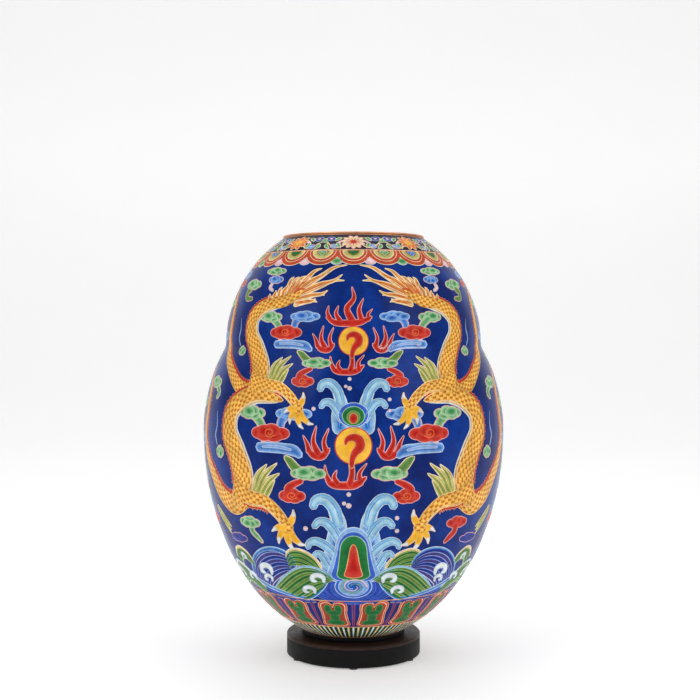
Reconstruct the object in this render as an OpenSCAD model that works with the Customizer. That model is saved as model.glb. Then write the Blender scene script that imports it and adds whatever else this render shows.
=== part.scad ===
// Double-lobed cloisonne vase on a turned wooden stand.
//
// The vase is built as such a vase is made: three spun copper shells and a base disc are
// soldered together over lap bands, a brass rim ring and foot ring close its ends, fine
// gilt wires divide the outside into fields, and each field is filled with enamel. The
// inside is coated with counter enamel. The vase stands loose in the collar of its stand
// and lifts straight off.
//
// Millimetres. +Z is up, and the origin is the centre of the stand's underside.

/* [Vase outline] */
// Height from the vase's lower edge to its widest place
belly_z = 470; // [380:1:580]
// Height from the widest place to the waist crease between the lobes
waist_rise = 202; // [160:1:250]
// Height from the waist crease to the edge of the mouth
dome_rise = 257; // [210:1:320]
// Outer radius at the widest place
belly_r = 358; // [300:1:440]
// How far the waist crease stands in from the widest place
waist_in = 53; // [40:1:66]
// Outer radius at the edge of the mouth
mouth_r = 167; // [138:1:205]
// Outer radius at the vase's lower edge
foot_r = 126; // [112:1:155]

/* [Walls] */
// Thickness of the copper shells
copper_t = 2; // [1.6:0.1:3]
// Thickness of the enamel outside
enamel_t = 1.5; // [1:0.1:2.2]
// Thickness of the counter enamel inside
lining_t = 1.1; // [0.8:0.1:1.6]
// Thickness of the copper base disc
base_t = 4; // [3:0.1:6]
// Height from the vase's lower edge to the seam between the bowl and belly shells
seam_rise = 250; // [200:1:310]
// Half of the height of the lap bands that join the shells inside
lap_half = 18; // [12:1:26]
// Thickness of the lap bands
lap_t = 2; // [1.2:0.1:3]

/* [Enamel fields] */
// Height of the flower scroll field below the mouth
scroll_h = 39; // [30:1:50]
// Height of the cloud-collar field below the flower scroll
collar_field_h = 33; // [24:1:42]
// Height of the fringe field above the lower edge
fringe_h = 38; // [28:1:48]
// Height of the petal-panel field above the fringe
panel_h = 74; // [60:1:90]
// Height of the wave field above the petal panels
wave_h = 124; // [100:1:150]
// Width of a gilt dividing wire
wire_w = 2.2; // [1.4:0.1:3]
// How far a dividing wire stands above the enamel
wire_proud = 0.5; // [0.2:0.1:1]

/* [Rim and foot] */
// Width of the rim ring's flat land, measured inwards from its bead
rim_land = 7; // [5:0.5:10]
// Radius of the bead along the outer edge of the rim ring
rim_bead_r = 2.4; // [1.6:0.1:3.5]
// Height of the rim ring's inner collar
rim_collar_h = 14; // [10:1:20]
// Wall of the rim ring's inner collar
rim_collar_t = 3; // [2:0.5:5]
// Outer radius of the foot ring
ring_r = 116; // [96:1:120]
// Wall of the foot ring
ring_t = 7; // [5:0.5:10]
// Height of the foot ring
ring_h = 11; // [9:0.5:16]

/* [Stand] */
// Outer radius of the stand
stand_r = 160; // [140:1:192]
// Height of the stand without its collar, from the floor to the top board's face
stand_h = 52; // [45:1:63]
// Radial width of the turned ring's wall
drum_wall = 34; // [30:1:42]
// Thickness of the top board
board_t = 9; // [7:0.5:12]
// Size of the chamfer around the top board
board_chamfer = 3; // [1:0.5:4]
// Thickness of the bottom board
bottom_t = 7; // [5:0.5:9]
// How far the bottom board laps onto the turned ring
bottom_lap = 16; // [14:1:18]
// Wall of the seating collar
collar_wall = 6; // [4:0.5:8]
// Gap between the foot ring and the collar
collar_gap = 1; // [0.5:0.1:2]
// Gap between the top of the collar and the vase's lower edge
edge_gap = 0.8; // [0.5:0.1:2]
// Thickness of the felt washer under the foot ring
felt_t = 2; // [1:0.5:3]
// Number of floor pads
pad_count = 6; // [4:1:8]
// Radius of a floor pad
pad_r = 10; // [8:0.5:12]
// Thickness of a floor pad
pad_t = 3; // [2:0.5:4]
// Number of wood screws in the bottom board
screw_count = 6; // [4:1:8]
// Radius of a screw's shank
screw_r = 2; // [1.5:0.1:2.5]
// Length of a screw
screw_len = 24; // [19:1:28]
// Radius of a screw's head
screw_head_r = 4; // [3.5:0.1:5]

/* [Hidden] */
$fn = 96;

copper = [0.72, 0.43, 0.27];
gilt = [0.86, 0.66, 0.36];
turquoise = [0.28, 0.62, 0.66];
navy = [0.09, 0.11, 0.3];
cobalt = [0.1, 0.18, 0.52];
coral = [0.8, 0.3, 0.18];
sea_blue = [0.12, 0.3, 0.66];
leaf_green = [0.16, 0.42, 0.28];
pale_fringe = [0.75, 0.78, 0.7];
black_lacquer = [0.04, 0.04, 0.045];
walnut = [0.27, 0.15, 0.1];
felt_grey = [0.2, 0.2, 0.2];
zinc = [0.72, 0.73, 0.75];

ring_step = 12;       // Greatest height between two rings of the profile
foot_step = 6;        // The same where the bowl curves in to its foot
head_slope = 1.2;     // Depth of a screw head's cone for each mm that it is wider than the shank
near = 0.001;         // Two heights closer than this are the same

// Heights above the floor
seat_z = stand_h + felt_t;             // the felt washer's top, where the foot ring rests
vase_z = seat_z + ring_h;              // the vase's lower edge, level with the ring's top
belly_at = vase_z + belly_z;
waist_at = belly_at + waist_rise;
seam_at = vase_z + seam_rise;
mouth_at = waist_at + dome_rise;
collar_top = vase_z - edge_gap;
fringe_at = vase_z + fringe_h;
panel_at = fringe_at + panel_h;
wave_at = panel_at + wave_h;
cloud_at = mouth_at - scroll_h;        // between the flower scroll and the cloud collar
field_at = cloud_at - collar_field_h;  // between the cloud collar and the upper field

// Three elliptic arcs make the outline. Each has the centre of the lobe's widest place
// as its own centre, and its height follows from the radii at its two ends.
waist_r = belly_r - waist_in;
dome_b = dome_rise / sqrt(1 - pow(mouth_r / waist_r, 2));
neck_b = waist_rise / sqrt(1 - pow(waist_r / belly_r, 2));
bowl_b = belly_z / sqrt(1 - pow(foot_r / belly_r, 2));

lining_off = enamel_t + copper_t;
inner_off = lining_off + lining_t;
collar_r = ring_r + collar_gap + collar_wall;
bottom_r = stand_r - drum_wall + bottom_lap;
screw_ring_r = stand_r - drum_wall + bottom_lap / 2;
pad_ring_r = (bottom_r + stand_r) / 2;

// The point on the ellipse with half axes a and b at height h above its centre, as its
// radius and its outward normal in r and z.
function on_ellipse(a, b, h) =
    let (r = a * sqrt(1 - pow(h / b, 2)), n = [r / (a * a), h / (b * b)])
    [r, n / norm(n)];

// The outline and its normal at height z. The dome serves the waist crease itself.
function outline(z) =
    z >= waist_at ? on_ellipse(waist_r, dome_b, z - waist_at)
    : z >= belly_at ? on_ellipse(belly_r, neck_b, z - belly_at)
    : on_ellipse(belly_r, bowl_b, z - belly_at);

// At the crease both lobes are mitred along the line that halves the angle between
// their normals, so that the layers of the upper and lower lobe meet without a gap.
crease_normal = on_ellipse(belly_r, neck_b, waist_rise)[1];
crease_mitre = (crease_normal + [1, 0]) / (1 + crease_normal[0]);

// The point at height z on the outline, moved outwards by off, along the normal.
function skin(z, off) =
    let (o = outline(z), along = abs(z - waist_at) < near ? crease_mitre : o[1])
    [o[0] + off * along[0], z + off * along[1]];

// The values of a list in rising order, each once.
function sorted(v) =
    len(v) < 2 ? v
    : concat(
        sorted([for (x = v) if (x < v[0] - near) x]), [v[0]],
        sorted([for (x = v) if (x > v[0] + near) x])
    );

// Heights where a piece of the vase begins or ends.
half_w = wire_w / 2;
edges = sorted([
    vase_z, vase_z + base_t, fringe_at - half_w, fringe_at + half_w,
    panel_at - half_w, panel_at + half_w, wave_at,
    seam_at - lap_half, seam_at, seam_at + lap_half, belly_at,
    waist_at - lap_half, waist_at, waist_at + lap_half, field_at,
    cloud_at - half_w, cloud_at + half_w, mouth_at - wire_w, mouth_at
]);

// Every layer of the wall has its rings at these heights, so that the layers lie face to
// face. They are closer together where the bowl curves in to its foot.
rings = sorted([
    for (i = [1:len(edges) - 1])
        let (
            low = edges[i - 1], rise = edges[i] - low,
            n = ceil(rise / (low < panel_at ? foot_step : ring_step))
        )
        for (k = [0:n]) low + rise * k / n
]);

// One layer of the wall between two heights, from one depth to another.
module layer(low, high, outer, inner) {
    zs = [for (z = rings) if (z > low - near && z < high + near) z];
    rotate_extrude()
        polygon(concat(
            [for (z = zs) skin(z, outer)],
            [for (i = [len(zs) - 1:-1:0]) skin(zs[i], inner)]
        ));
}

module tube(r_out, r_in, low, high) {
    difference() {
        translate([0, 0, low]) cylinder(r = r_out, h = high - low);
        translate([0, 0, low - 1]) cylinder(r = r_in, h = high - low + 2);
    }
}

module around(count, radius) {
    for (i = [0:count - 1]) rotate(360 * i / count) translate([radius, 0, 0]) children();
}

// ---- vase: metal ----

module shell(low, high) { layer(low, high, -enamel_t, -lining_off); }

// A band inside the copper over the seam at height z.
module lap_band(z) { layer(z - lap_half, z + lap_half, -lining_off, -lining_off - lap_t); }

module dome_shell() { color(copper) shell(waist_at, mouth_at); }

module belly_shell() { color(copper) shell(seam_at, waist_at); }

module bowl_shell() { color(copper) shell(vase_z, seam_at); }

module waist_lap_band() { color(copper) lap_band(waist_at); }

module bowl_lap_band() { color(copper) lap_band(seam_at); }

// The base disc closes the bowl and covers the cut edges of the shell and its enamel.
module base_disc() {
    color(copper) rotate_extrude() polygon([
        [0, vase_z], skin(vase_z, 0), skin(vase_z, -lining_off),
        skin(vase_z + base_t, -lining_off), [0, skin(vase_z + base_t, -lining_off)[1]]
    ]);
}

module foot_ring() {
    color(gilt) tube(ring_r, ring_r - ring_t, seat_z, vase_z);
}

// The rim ring covers the cut edges of every layer: a land inside a round bead, with a
// short collar that hangs down inside the mouth.
module rim_ring() {
    edge = skin(mouth_at, 0);
    heel = skin(mouth_at, -inner_off);
    bead_at = [edge[0] - rim_bead_r * 0.5, edge[1] + rim_bead_r];
    land_r = bead_at[0] - rim_land;
    color(gilt) rotate_extrude() union() {
        translate(bead_at) circle(r = rim_bead_r, $fn = 32);
        polygon([
            edge, [bead_at[0], bead_at[1] + rim_bead_r * 0.7],
            [land_r, bead_at[1] + rim_bead_r * 0.7],
            [land_r, edge[1] - rim_collar_h], [land_r + rim_collar_t, edge[1] - rim_collar_h],
            [land_r + rim_collar_t, heel[1]], heel
        ]);
    }
}

// ---- vase: linings ----

module lining(low, high) { layer(low, high, -lining_off, -inner_off); }

module lining_dome() { color(turquoise) lining(waist_at + lap_half, mouth_at); }

module lining_belly() {
    color(turquoise) lining(seam_at + lap_half, waist_at - lap_half);
}

module lining_bowl() { color(turquoise) lining(vase_z + base_t, seam_at - lap_half); }

module lining_base() {
    floor_at = skin(vase_z + base_t, -lining_off);
    step_at = skin(vase_z + base_t, -inner_off);
    color(turquoise) rotate_extrude() polygon([
        [0, floor_at[1]], floor_at, step_at, [0, step_at[1]]
    ]);
}

// ---- vase: enamel fields and the wires between them ----

module enamel(low, high) { layer(low, high, 0, -enamel_t); }

module wire(at) { layer(at - half_w, at + half_w, wire_proud, -enamel_t); }

module enamel_scroll_field() {
    color(navy) enamel(cloud_at + half_w, mouth_at - wire_w);
}

module enamel_collar_field() { color(coral) enamel(field_at, cloud_at - half_w); }

module enamel_upper_field() { color(cobalt) enamel(waist_at, field_at); }

module enamel_lower_field() { color(cobalt) enamel(wave_at, waist_at); }

module enamel_wave_field() { color(sea_blue) enamel(panel_at + half_w, wave_at); }

module enamel_panel_field() {
    color(leaf_green) enamel(fringe_at + half_w, panel_at - half_w);
}

module enamel_fringe_field() {
    color(pale_fringe) enamel(vase_z, fringe_at - half_w);
}

module wire_mouth() { color(gilt) wire(mouth_at - half_w); }

module wire_shoulder() { color(gilt) wire(cloud_at); }

module wire_panel() { color(gilt) wire(panel_at); }

module wire_fringe() { color(gilt) wire(fringe_at); }

// ---- stand ----

// A turned ring with a rebate below for the bottom board and pilot holes for its screws.
module stand_drum() {
    color(black_lacquer) difference() {
        tube(stand_r, stand_r - drum_wall, pad_t, stand_h - board_t);
        translate([0, 0, pad_t - 1]) cylinder(r = bottom_r, h = bottom_t + 1);
        around(screw_count, screw_ring_r)
            translate([0, 0, pad_t]) cylinder(r = screw_r, h = screw_len, $fn = 24);
    }
}

module stand_top() {
    color(walnut) translate([0, 0, stand_h - board_t]) {
        cylinder(r = stand_r, h = board_t - board_chamfer);
        translate([0, 0, board_t - board_chamfer])
            cylinder(r1 = stand_r, r2 = stand_r - board_chamfer, h = board_chamfer);
    }
}

module stand_collar() {
    color(black_lacquer) tube(collar_r, ring_r + collar_gap, stand_h, collar_top);
}

module stand_bottom() {
    color(walnut) difference() {
        translate([0, 0, pad_t]) cylinder(r = bottom_r, h = bottom_t);
        around(screw_count, screw_ring_r) screw();
    }
}

module seat_felt() {
    color(felt_grey) tube(ring_r, ring_r - ring_t, stand_h, seat_z);
}

module floor_pads() {
    color(felt_grey) rotate(180 / pad_count)
        around(pad_count, pad_ring_r) cylinder(r = pad_r, h = pad_t, $fn = 32);
}

module screw() {
    head_h = (screw_head_r - screw_r) * head_slope;
    translate([0, 0, pad_t]) {
        cylinder(r = screw_r, h = screw_len, $fn = 24);
        cylinder(r1 = screw_head_r, r2 = screw_r, h = head_h, $fn = 24);
    }
}

module stand_screws() { color(zinc) around(screw_count, screw_ring_r) screw(); }

dome_shell();
belly_shell();
bowl_shell();
waist_lap_band();
bowl_lap_band();
base_disc();
foot_ring();
rim_ring();
lining_dome();
lining_belly();
lining_bowl();
lining_base();
enamel_scroll_field();
enamel_collar_field();
enamel_upper_field();
enamel_lower_field();
enamel_wave_field();
enamel_panel_field();
enamel_fringe_field();
wire_mouth();
wire_shoulder();
wire_panel();
wire_fringe();
stand_drum();
stand_top();
stand_collar();
stand_bottom();
seat_felt();
floor_pads();
stand_screws();
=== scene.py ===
"""The looks of a double-lobed cloisonne vase on its turned wooden stand.

The vase's outline comes from the frame: three elliptic arcs turned about the Z axis. The
decoration is drawn on that skin as raised enamel cells between gilt wires. Sizes in the
classes are millimetres on the skin, and Blender's units are metres.
"""

import logging
import math
from collections.abc import Sequence
from dataclasses import dataclass, field
from enum import Enum

import bmesh
import bpy
import numpy as np
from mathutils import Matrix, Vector


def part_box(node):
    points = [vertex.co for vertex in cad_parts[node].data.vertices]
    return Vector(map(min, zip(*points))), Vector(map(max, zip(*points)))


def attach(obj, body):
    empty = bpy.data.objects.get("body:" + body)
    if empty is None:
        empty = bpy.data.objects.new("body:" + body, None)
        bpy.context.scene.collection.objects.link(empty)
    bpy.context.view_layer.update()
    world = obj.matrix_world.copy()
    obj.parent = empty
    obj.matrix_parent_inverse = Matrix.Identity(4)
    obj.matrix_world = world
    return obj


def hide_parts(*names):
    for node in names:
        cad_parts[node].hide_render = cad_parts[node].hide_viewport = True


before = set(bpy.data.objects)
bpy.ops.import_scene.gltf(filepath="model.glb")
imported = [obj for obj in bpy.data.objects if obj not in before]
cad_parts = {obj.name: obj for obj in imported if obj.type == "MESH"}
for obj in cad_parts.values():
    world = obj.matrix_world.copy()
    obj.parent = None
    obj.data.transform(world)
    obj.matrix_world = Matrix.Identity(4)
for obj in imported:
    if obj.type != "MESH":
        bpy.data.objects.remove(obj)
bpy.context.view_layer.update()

MM = 0.001
FULL_TURN = 2 * math.pi
MIRRORS = (-1, 1)

SHEEN = 0.1

Point = tuple[float, float]
Colour = tuple[float, float, float, float]
log = logging.getLogger("vase")


class Face(Enum):
    """The two faces that carry the whole drawing, by their turn about Z."""

    FRONT = 0.0
    BACK = math.pi


def tint(code: str) -> Colour:
    """Turn a display colour into the shader's linear colour.

    Args:
        code: Six hex digits, red, green and blue.

    Returns:
        The linear colour with full alpha.
    """
    parts = [int(code[i:i + 2], 16) / 255 for i in (0, 2, 4)]
    linear = [c / 12.92 if c <= 0.04045 else ((c + 0.055) / 1.055) ** 2.4 for c in parts]
    return (*linear, 1.0)


# ---------------------------------------------------------------- finishes


class Graph:
    """A material's node tree, with short calls for the nodes that the finishes use."""

    def __init__(self, name: str) -> None:
        """Start a material with only its shader.

        Args:
            name: The material's name.
        """
        self.material = bpy.data.materials.new(name)
        self.material.use_nodes = True
        self.tree = self.material.node_tree
        self.shader = self.tree.nodes["Principled BSDF"]
        self.place = self.add("ShaderNodeTexCoord", {}).outputs["Object"]

    def feed(self, socket: bpy.types.NodeSocket, value: object) -> None:
        """Link a socket to another, or set its value.

        Args:
            socket: The input to feed.
            value: An output socket, a number, a colour or a vector.
        """
        if isinstance(value, bpy.types.NodeSocket):
            self.tree.links.new(value, socket)
        else:
            socket.default_value = value

    def add(self, kind: str, inputs: dict, **settings: object) -> bpy.types.Node:
        """Add a node.

        Args:
            kind: The node's type name.
            inputs: What each input takes, by the input's name or index.
            settings: The node's own properties.

        Returns:
            The new node.
        """
        node = self.tree.nodes.new(kind)
        for key, value in settings.items():
            setattr(node, key, value)
        for key, value in inputs.items():
            self.feed(node.inputs[key], value)
        return node

    def math(self, operation: str, *values: object) -> bpy.types.NodeSocket:
        """Do a sum on one, two or three values.

        Args:
            operation: The math node's operation.
            values: Sockets or numbers.

        Returns:
            The result.
        """
        inputs = dict(enumerate(values))
        return self.add("ShaderNodeMath", inputs, operation=operation).outputs[0]

    def mix(self, share: object, first: object, second: object) -> bpy.types.NodeSocket:
        """Blend two colours.

        Args:
            share: How much of the second colour shows.
            first: The colour at a share of 0.
            second: The colour at a share of 1.

        Returns:
            The blended colour.
        """
        inputs = {0: share, 6: first, 7: second}
        return self.add("ShaderNodeMix", inputs, data_type="RGBA").outputs[2]

    def noise(self, scale: float, detail: float = 2.0) -> bpy.types.NodeSocket:
        """Cloudy noise over the object.

        Args:
            scale: Clouds per metre.
            detail: How many finer layers are added.

        Returns:
            A value around a half.
        """
        inputs = {"Vector": self.place, "Scale": scale, "Detail": detail}
        return self.add("ShaderNodeTexNoise", inputs).outputs["Fac"]

    def span(
        self, value: object, low: float, high: float, to_low: float, to_high: float
    ) -> bpy.types.NodeSocket:
        """Map a value from one range onto another, and hold it there.

        Args:
            value: What is mapped.
            low: The value that becomes to_low.
            high: The value that becomes to_high.
            to_low: The result at low.
            to_high: The result at high.

        Returns:
            The mapped value.
        """
        inputs = {0: value, 1: low, 2: high, 3: to_low, 4: to_high}
        return self.add("ShaderNodeMapRange", inputs).outputs[0]

    def shade(self, colour: object, strength: object) -> bpy.types.NodeSocket:
        """Make a colour lighter or darker.

        Args:
            colour: The colour.
            strength: What it is multiplied by.

        Returns:
            The shaded colour.
        """
        plain = colour[:3] if isinstance(colour, tuple) else colour
        inputs = {0: plain, "Scale": strength}
        return self.add("ShaderNodeVectorMath", inputs, operation="SCALE").outputs[0]

    def attribute(self, name: str, output: str = "Fac") -> bpy.types.NodeSocket:
        """Read a value that the mesh carries, by its name."""
        return self.add("ShaderNodeAttribute", {}, attribute_name=name).outputs[output]

    def bump(self, height: object, strength: float, distance: float) -> None:
        """Raise the surface by a height.

        Args:
            height: The height, from 0 to 1.
            strength: How much of the bump shows.
            distance: The rise in millimetres at a height of 1.
        """
        inputs = {"Height": height, "Strength": strength, "Distance": distance * MM}
        self.feed(self.shader.inputs["Normal"], self.add("ShaderNodeBump", inputs).outputs[0])

    def set(self, **values: object) -> None:
        """Set the shader's own sockets, written with _ for a space."""
        for key, value in values.items():
            self.feed(self.shader.inputs[key.replace("_", " ")], value)


class Finish:
    """A surface finish, whose material is made once."""

    made: dict[str, bpy.types.Material] = {}
    name: str

    def material(self) -> bpy.types.Material:
        """Return the finish's material, and make it the first time."""
        if self.name not in Finish.made:
            graph = Graph(self.name)
            self.paint(graph)
            Finish.made[self.name] = graph.material
        return Finish.made[self.name]

    def paint(self, graph: Graph) -> None:
        """Build the material's nodes."""
        raise NotImplementedError


def glaze(graph: Graph, colour: object, gloss: float, wave: float = 0.5) -> None:
    """Finish a colour as fired and polished glass, with pooling, pinholes and a faint ripple.

    Args:
        graph: The material's nodes.
        colour: The glass colour.
        gloss: The lowest roughness.
        wave: How strongly the surface ripples.
    """
    pools = graph.span(graph.noise(55, 3), 0.3, 0.7, 0.8, 1.14)
    fine = graph.span(graph.noise(420, 2), 0.35, 0.7, 0.93, 1.06)
    cells = graph.add("ShaderNodeTexVoronoi", {"Vector": graph.place, "Scale": 230.0})
    pick = graph.math("GREATER_THAN", graph.add(
        "ShaderNodeSeparateXYZ", {0: cells.outputs["Color"]}).outputs[0], 0.82)
    hole = graph.math("MULTIPLY", graph.span(cells.outputs["Distance"], 0.1, 0.2, 1, 0), pick)
    tone = graph.math("MULTIPLY", pools, graph.math("MULTIPLY", fine, graph.span(
        hole, 0, 1, 1, 0.55)))
    rough = graph.span(graph.noise(26, 4), 0.35, 0.7, gloss, gloss + 0.12)
    graph.set(Base_Color=graph.shade(colour, tone), Roughness=rough, IOR=1.52,
              Specular_IOR_Level=SHEEN)
    ripple = graph.math("SUBTRACT", graph.noise(110, 2), graph.math("MULTIPLY", hole, 0.6))
    graph.bump(ripple, wave, 0.35)


@dataclass(frozen=True)
class Enamel(Finish):
    """Glass enamel that is shaded from its wires to the middle of its cell.

    Attributes:
        name: The material's name.
        core: The colour in the middle of the cell.
        edge: The colour beside the wires.
        gloss: The lowest roughness.
    """

    name: str
    core: str
    edge: str
    gloss: float = 0.24

    def paint(self, graph: Graph) -> None:
        """Blend the two colours by the depth that the mesh carries."""
        uneven = graph.math("SUBTRACT", graph.noise(150, 2), 0.5)
        depth = graph.math("ADD", graph.attribute("depth"), graph.math(
            "MULTIPLY", uneven, 0.45))
        share = graph.span(depth, 0.0, 0.85, 0, 1)
        glaze(graph, graph.mix(share, tint(self.edge), tint(self.core)), self.gloss)


@dataclass(frozen=True)
class Ground(Finish):
    """The enamel field behind the motifs, brushed on in soft patches.

    Attributes:
        name: The material's name.
        deep: The darkest colour.
        light: The lightest colour.
    """

    name: str
    deep: str
    light: str

    def paint(self, graph: Graph) -> None:
        """Drift between the two colours over a hand's breadth."""
        share = graph.span(graph.noise(9, 4), 0.36, 0.66, 0, 1)
        glaze(graph, graph.mix(share, tint(self.deep), tint(self.light)), 0.17)


@dataclass(frozen=True)
class ScaleEnamel(Finish):
    """A dragon's scales: overlapping rows of shaded enamel with a dark line round each.

    Attributes:
        name: The material's name.
        light: The colour at a scale's root.
        deep: The colour at its rim.
        line: The colour of the line round it.
        length: Exposed length of a scale.
        width: Width of a scale.
    """

    name: str
    light: str
    deep: str
    line: str
    length: float = 9.5
    width: float = 14.0

    def paint(self, graph: Graph) -> None:
        """Draw the rows along the mesh's own pattern coordinates, in millimetres.

        Args:
            graph: The material's nodes.
        """
        split = graph.add("ShaderNodeSeparateXYZ", {0: graph.attribute("pattern", "Vector")})
        along = graph.math("DIVIDE", split.outputs[0], self.length)
        row = graph.math("FLOOR", along)
        ahead = graph.math("SUBTRACT", along, row)
        shift = graph.math("MULTIPLY", graph.math("MODULO", row, 2.0), 0.5)
        across = graph.math("ADD", graph.math("DIVIDE", split.outputs[1], self.width), shift)
        aside = graph.math("ABSOLUTE", graph.math("SUBTRACT", graph.math(
            "SUBTRACT", across, graph.math("FLOOR", across)), 0.5))
        near = self.reach(graph, graph.math("DIVIDE", ahead, 2.0), aside)
        far = self.reach(graph, graph.math("DIVIDE", graph.math("ADD", ahead, 1.0), 2.0),
                         graph.math("SUBTRACT", 0.5, aside))
        covers = graph.math("LESS_THAN", near, 1.0)
        reach = graph.math("ADD", graph.math("MULTIPLY", near, covers), graph.math(
            "MULTIPLY", far, graph.math("SUBTRACT", 1.0, covers)))
        fill = graph.mix(graph.span(reach, 0.3, 0.85, 0, 1), tint(self.light), tint(self.deep))
        drift = graph.span(graph.noise(30, 2), 0.35, 0.65, 0.86, 1.12)
        edge = graph.span(graph.attribute("depth"), 0.0, 0.45, 0.78, 1.0)
        rim = graph.span(reach, 0.84, 0.93, 0, 1)
        colour = graph.mix(rim, graph.shade(fill, graph.math("MULTIPLY", drift, edge)),
                           tint(self.line))
        graph.set(Base_Color=colour, Roughness=graph.span(rim, 0, 1, 0.24, 0.38), IOR=1.52,
                  Specular_IOR_Level=SHEEN)
        graph.bump(graph.math("SUBTRACT", 1.0, reach), 0.5, 0.5)

    def reach(self, graph: Graph, ahead: object, aside: object) -> bpy.types.NodeSocket:
        """Measure how far a place is from a scale's root, as a share of the scale.

        Args:
            graph: The material's nodes.
            ahead: Share of the scale's whole length.
            aside: Share of its whole width from its middle.

        Returns:
            The distance, 1 at the scale's rim.
        """
        squares = [graph.math("MULTIPLY", ahead, ahead), graph.math("POWER", graph.math(
            "MULTIPLY", aside, 2.0), 2.0)]
        return graph.math("SQRT", graph.math("ADD", *squares))


@dataclass(frozen=True)
class Metal(Finish):
    """Polished metal with a soft bloom, fine scratches and darker tarnish.

    Attributes:
        name: The material's name.
        bright: The polished colour.
        tarnish: The dull colour.
        rough: The lowest roughness.
    """

    name: str
    bright: str
    tarnish: str
    rough: float = 0.25

    def paint(self, graph: Graph) -> None:
        """Drift between polish and tarnish."""
        share = graph.span(graph.noise(70, 4), 0.45, 0.75, 0, 0.8)
        colour = graph.mix(share, tint(self.bright), tint(self.tarnish))
        rough = graph.span(graph.noise(240, 3), 0.3, 0.7, self.rough, self.rough + 0.2)
        graph.set(Base_Color=colour, Metallic=1.0, Roughness=rough)
        graph.bump(graph.noise(600, 2), 0.25, 0.12)


@dataclass(frozen=True)
class Lacquer(Finish):
    """Satin lacquer over turned wood, with the grain just showing through.

    Attributes:
        name: The material's name.
        body: The main colour.
        grain: The colour along the grain.
        rough: The lowest roughness.
    """

    name: str
    body: str
    grain: str
    rough: float = 0.3

    def paint(self, graph: Graph) -> None:
        """Run the grain along X, as in a board, and let the gloss vary.

        Args:
            graph: The material's nodes.
        """
        turned = graph.add("ShaderNodeMapping", {0: graph.place, 3: (1.5, 16.0, 10.0)})
        inputs = {"Vector": turned.outputs[0], "Scale": 9.0, "Detail": 5.0, "Distortion": 0.6}
        grain = graph.add("ShaderNodeTexNoise", inputs).outputs["Fac"]
        colour = graph.mix(graph.span(grain, 0.38, 0.66, 0, 1), tint(self.body),
                           tint(self.grain))
        rough = graph.span(graph.noise(45, 4), 0.3, 0.7, self.rough, self.rough + 0.12)
        graph.set(Base_Color=colour, Roughness=rough, Specular_IOR_Level=0.18)
        graph.bump(grain, 0.2, 0.25)


@dataclass(frozen=True)
class Cloth(Finish):
    """Pressed felt.

    Attributes:
        name: The material's name.
        dark: The colour between the fibres.
        pale: The fibres' colour.
    """

    name: str
    dark: str
    pale: str

    def paint(self, graph: Graph) -> None:
        """Mottle the felt with fine fibres."""
        fibres = graph.noise(1400, 4)
        colour = graph.mix(graph.span(fibres, 0.35, 0.7, 0, 1), tint(self.dark), tint(self.pale))
        graph.set(Base_Color=colour, Roughness=graph.span(fibres, 0.3, 0.7, 0.85, 1.0))
        graph.shader.inputs["Sheen Weight"].default_value = 0.3
        graph.bump(fibres, 0.6, 0.4)


@dataclass(frozen=True)
class StudioPaint(Finish):
    """The studio's matt white paint.

    Attributes:
        name: The material's name.
        white: Its colour.
    """

    name: str
    white: str

    def paint(self, graph: Graph) -> None:
        """Keep the paint almost even."""
        tone = graph.span(graph.noise(1.5, 2), 0.3, 0.7, 0.985, 1.0)
        graph.set(Base_Color=graph.shade(tint(self.white), tone), Roughness=0.8,
                  Emission_Color=(1.0, 1.0, 1.0, 1.0), Emission_Strength=0.32)


COBALT = Ground("enamel_cobalt", "03206a", "0c3a94")
NAVY = Ground("enamel_navy", "0b0c24", "171437")
WAVE_BLUE = Ground("enamel_wave_blue", "0a2078", "17429e")
BASE_BLUE = Ground("enamel_base_blue", "051a68", "0d2a8c")
FRINGE_GREEN = Ground("enamel_fringe_green", "17301e", "3a5a3c")
LINING = Ground("counter_enamel", "3f8f96", "57a7aa")
SCALES = ScaleEnamel("enamel_scales", "ffcf68", "e58c22", "a3531a")
RED = Enamel("enamel_red", "bd1a10", "d64a3c")
DEEP_RED = Enamel("enamel_deep_red", "8e2013", "b4442c")
CORAL = Enamel("enamel_coral", "d8582c", "c24a28")
PINK = Enamel("enamel_pink", "f3dadf", "f0b3b0")
WHITE = Enamel("enamel_white", "eef2f2", "d4e2ea")
CREAM = Enamel("enamel_cream", "f9cf86", "ffe9c4")
MANE = Enamel("enamel_mane", "efa544", "ffe0a4")
YELLOW = Enamel("enamel_yellow", "f7b32a", "ffc64a")
OLIVE = Enamel("enamel_olive", "8f9a35", "d9cf82")
SKY = Enamel("enamel_sky", "1a5dbc", "8fbdee")
PALE_BLUE = Enamel("enamel_pale_blue", "86aee4", "c3d6f5")
ROYAL = Enamel("enamel_royal", "153aa8", "3f6cd2")
LEAF = Enamel("enamel_leaf", "3a9152", "b9deae")
MOSS = Enamel("enamel_moss", "4f7d38", "86a85e")
EMERALD = Enamel("enamel_emerald", "17652f", "277f42")
PLUM = Enamel("enamel_plum", "4a3572", "37449c")
SURF = Enamel("enamel_surf", "176fc6", "a9d4f0")
INDIGO = Enamel("enamel_indigo", "1c2178", "2f48b0")
GILT = Metal("gilt_wire", "f5c987", "c98a55", 0.28)
ROSE_GILT = Metal("rose_gilt", "f0b48c", "cc7f57", 0.3)
BRASS = Metal("gilt_brass", "e9bd76", "a8743c", 0.22)
COPPER = Metal("copper", "c8835c", "6e4632", 0.34)
ZINC = Metal("zinc_steel", "c9ccd1", "8d9096", 0.35)
BLACK = Lacquer("black_lacquer", "050505", "0b0a0a", 0.48)
WALNUT = Lacquer("walnut", "241713", "3a2720", 0.34)
FELT = Cloth("felt", "26262a", "4a4a50")
PAPER = StudioPaint("studio_paint", "f4f4f4")
CREST = Enamel("enamel_crest", "b4dbea", "58a2d8")
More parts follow.
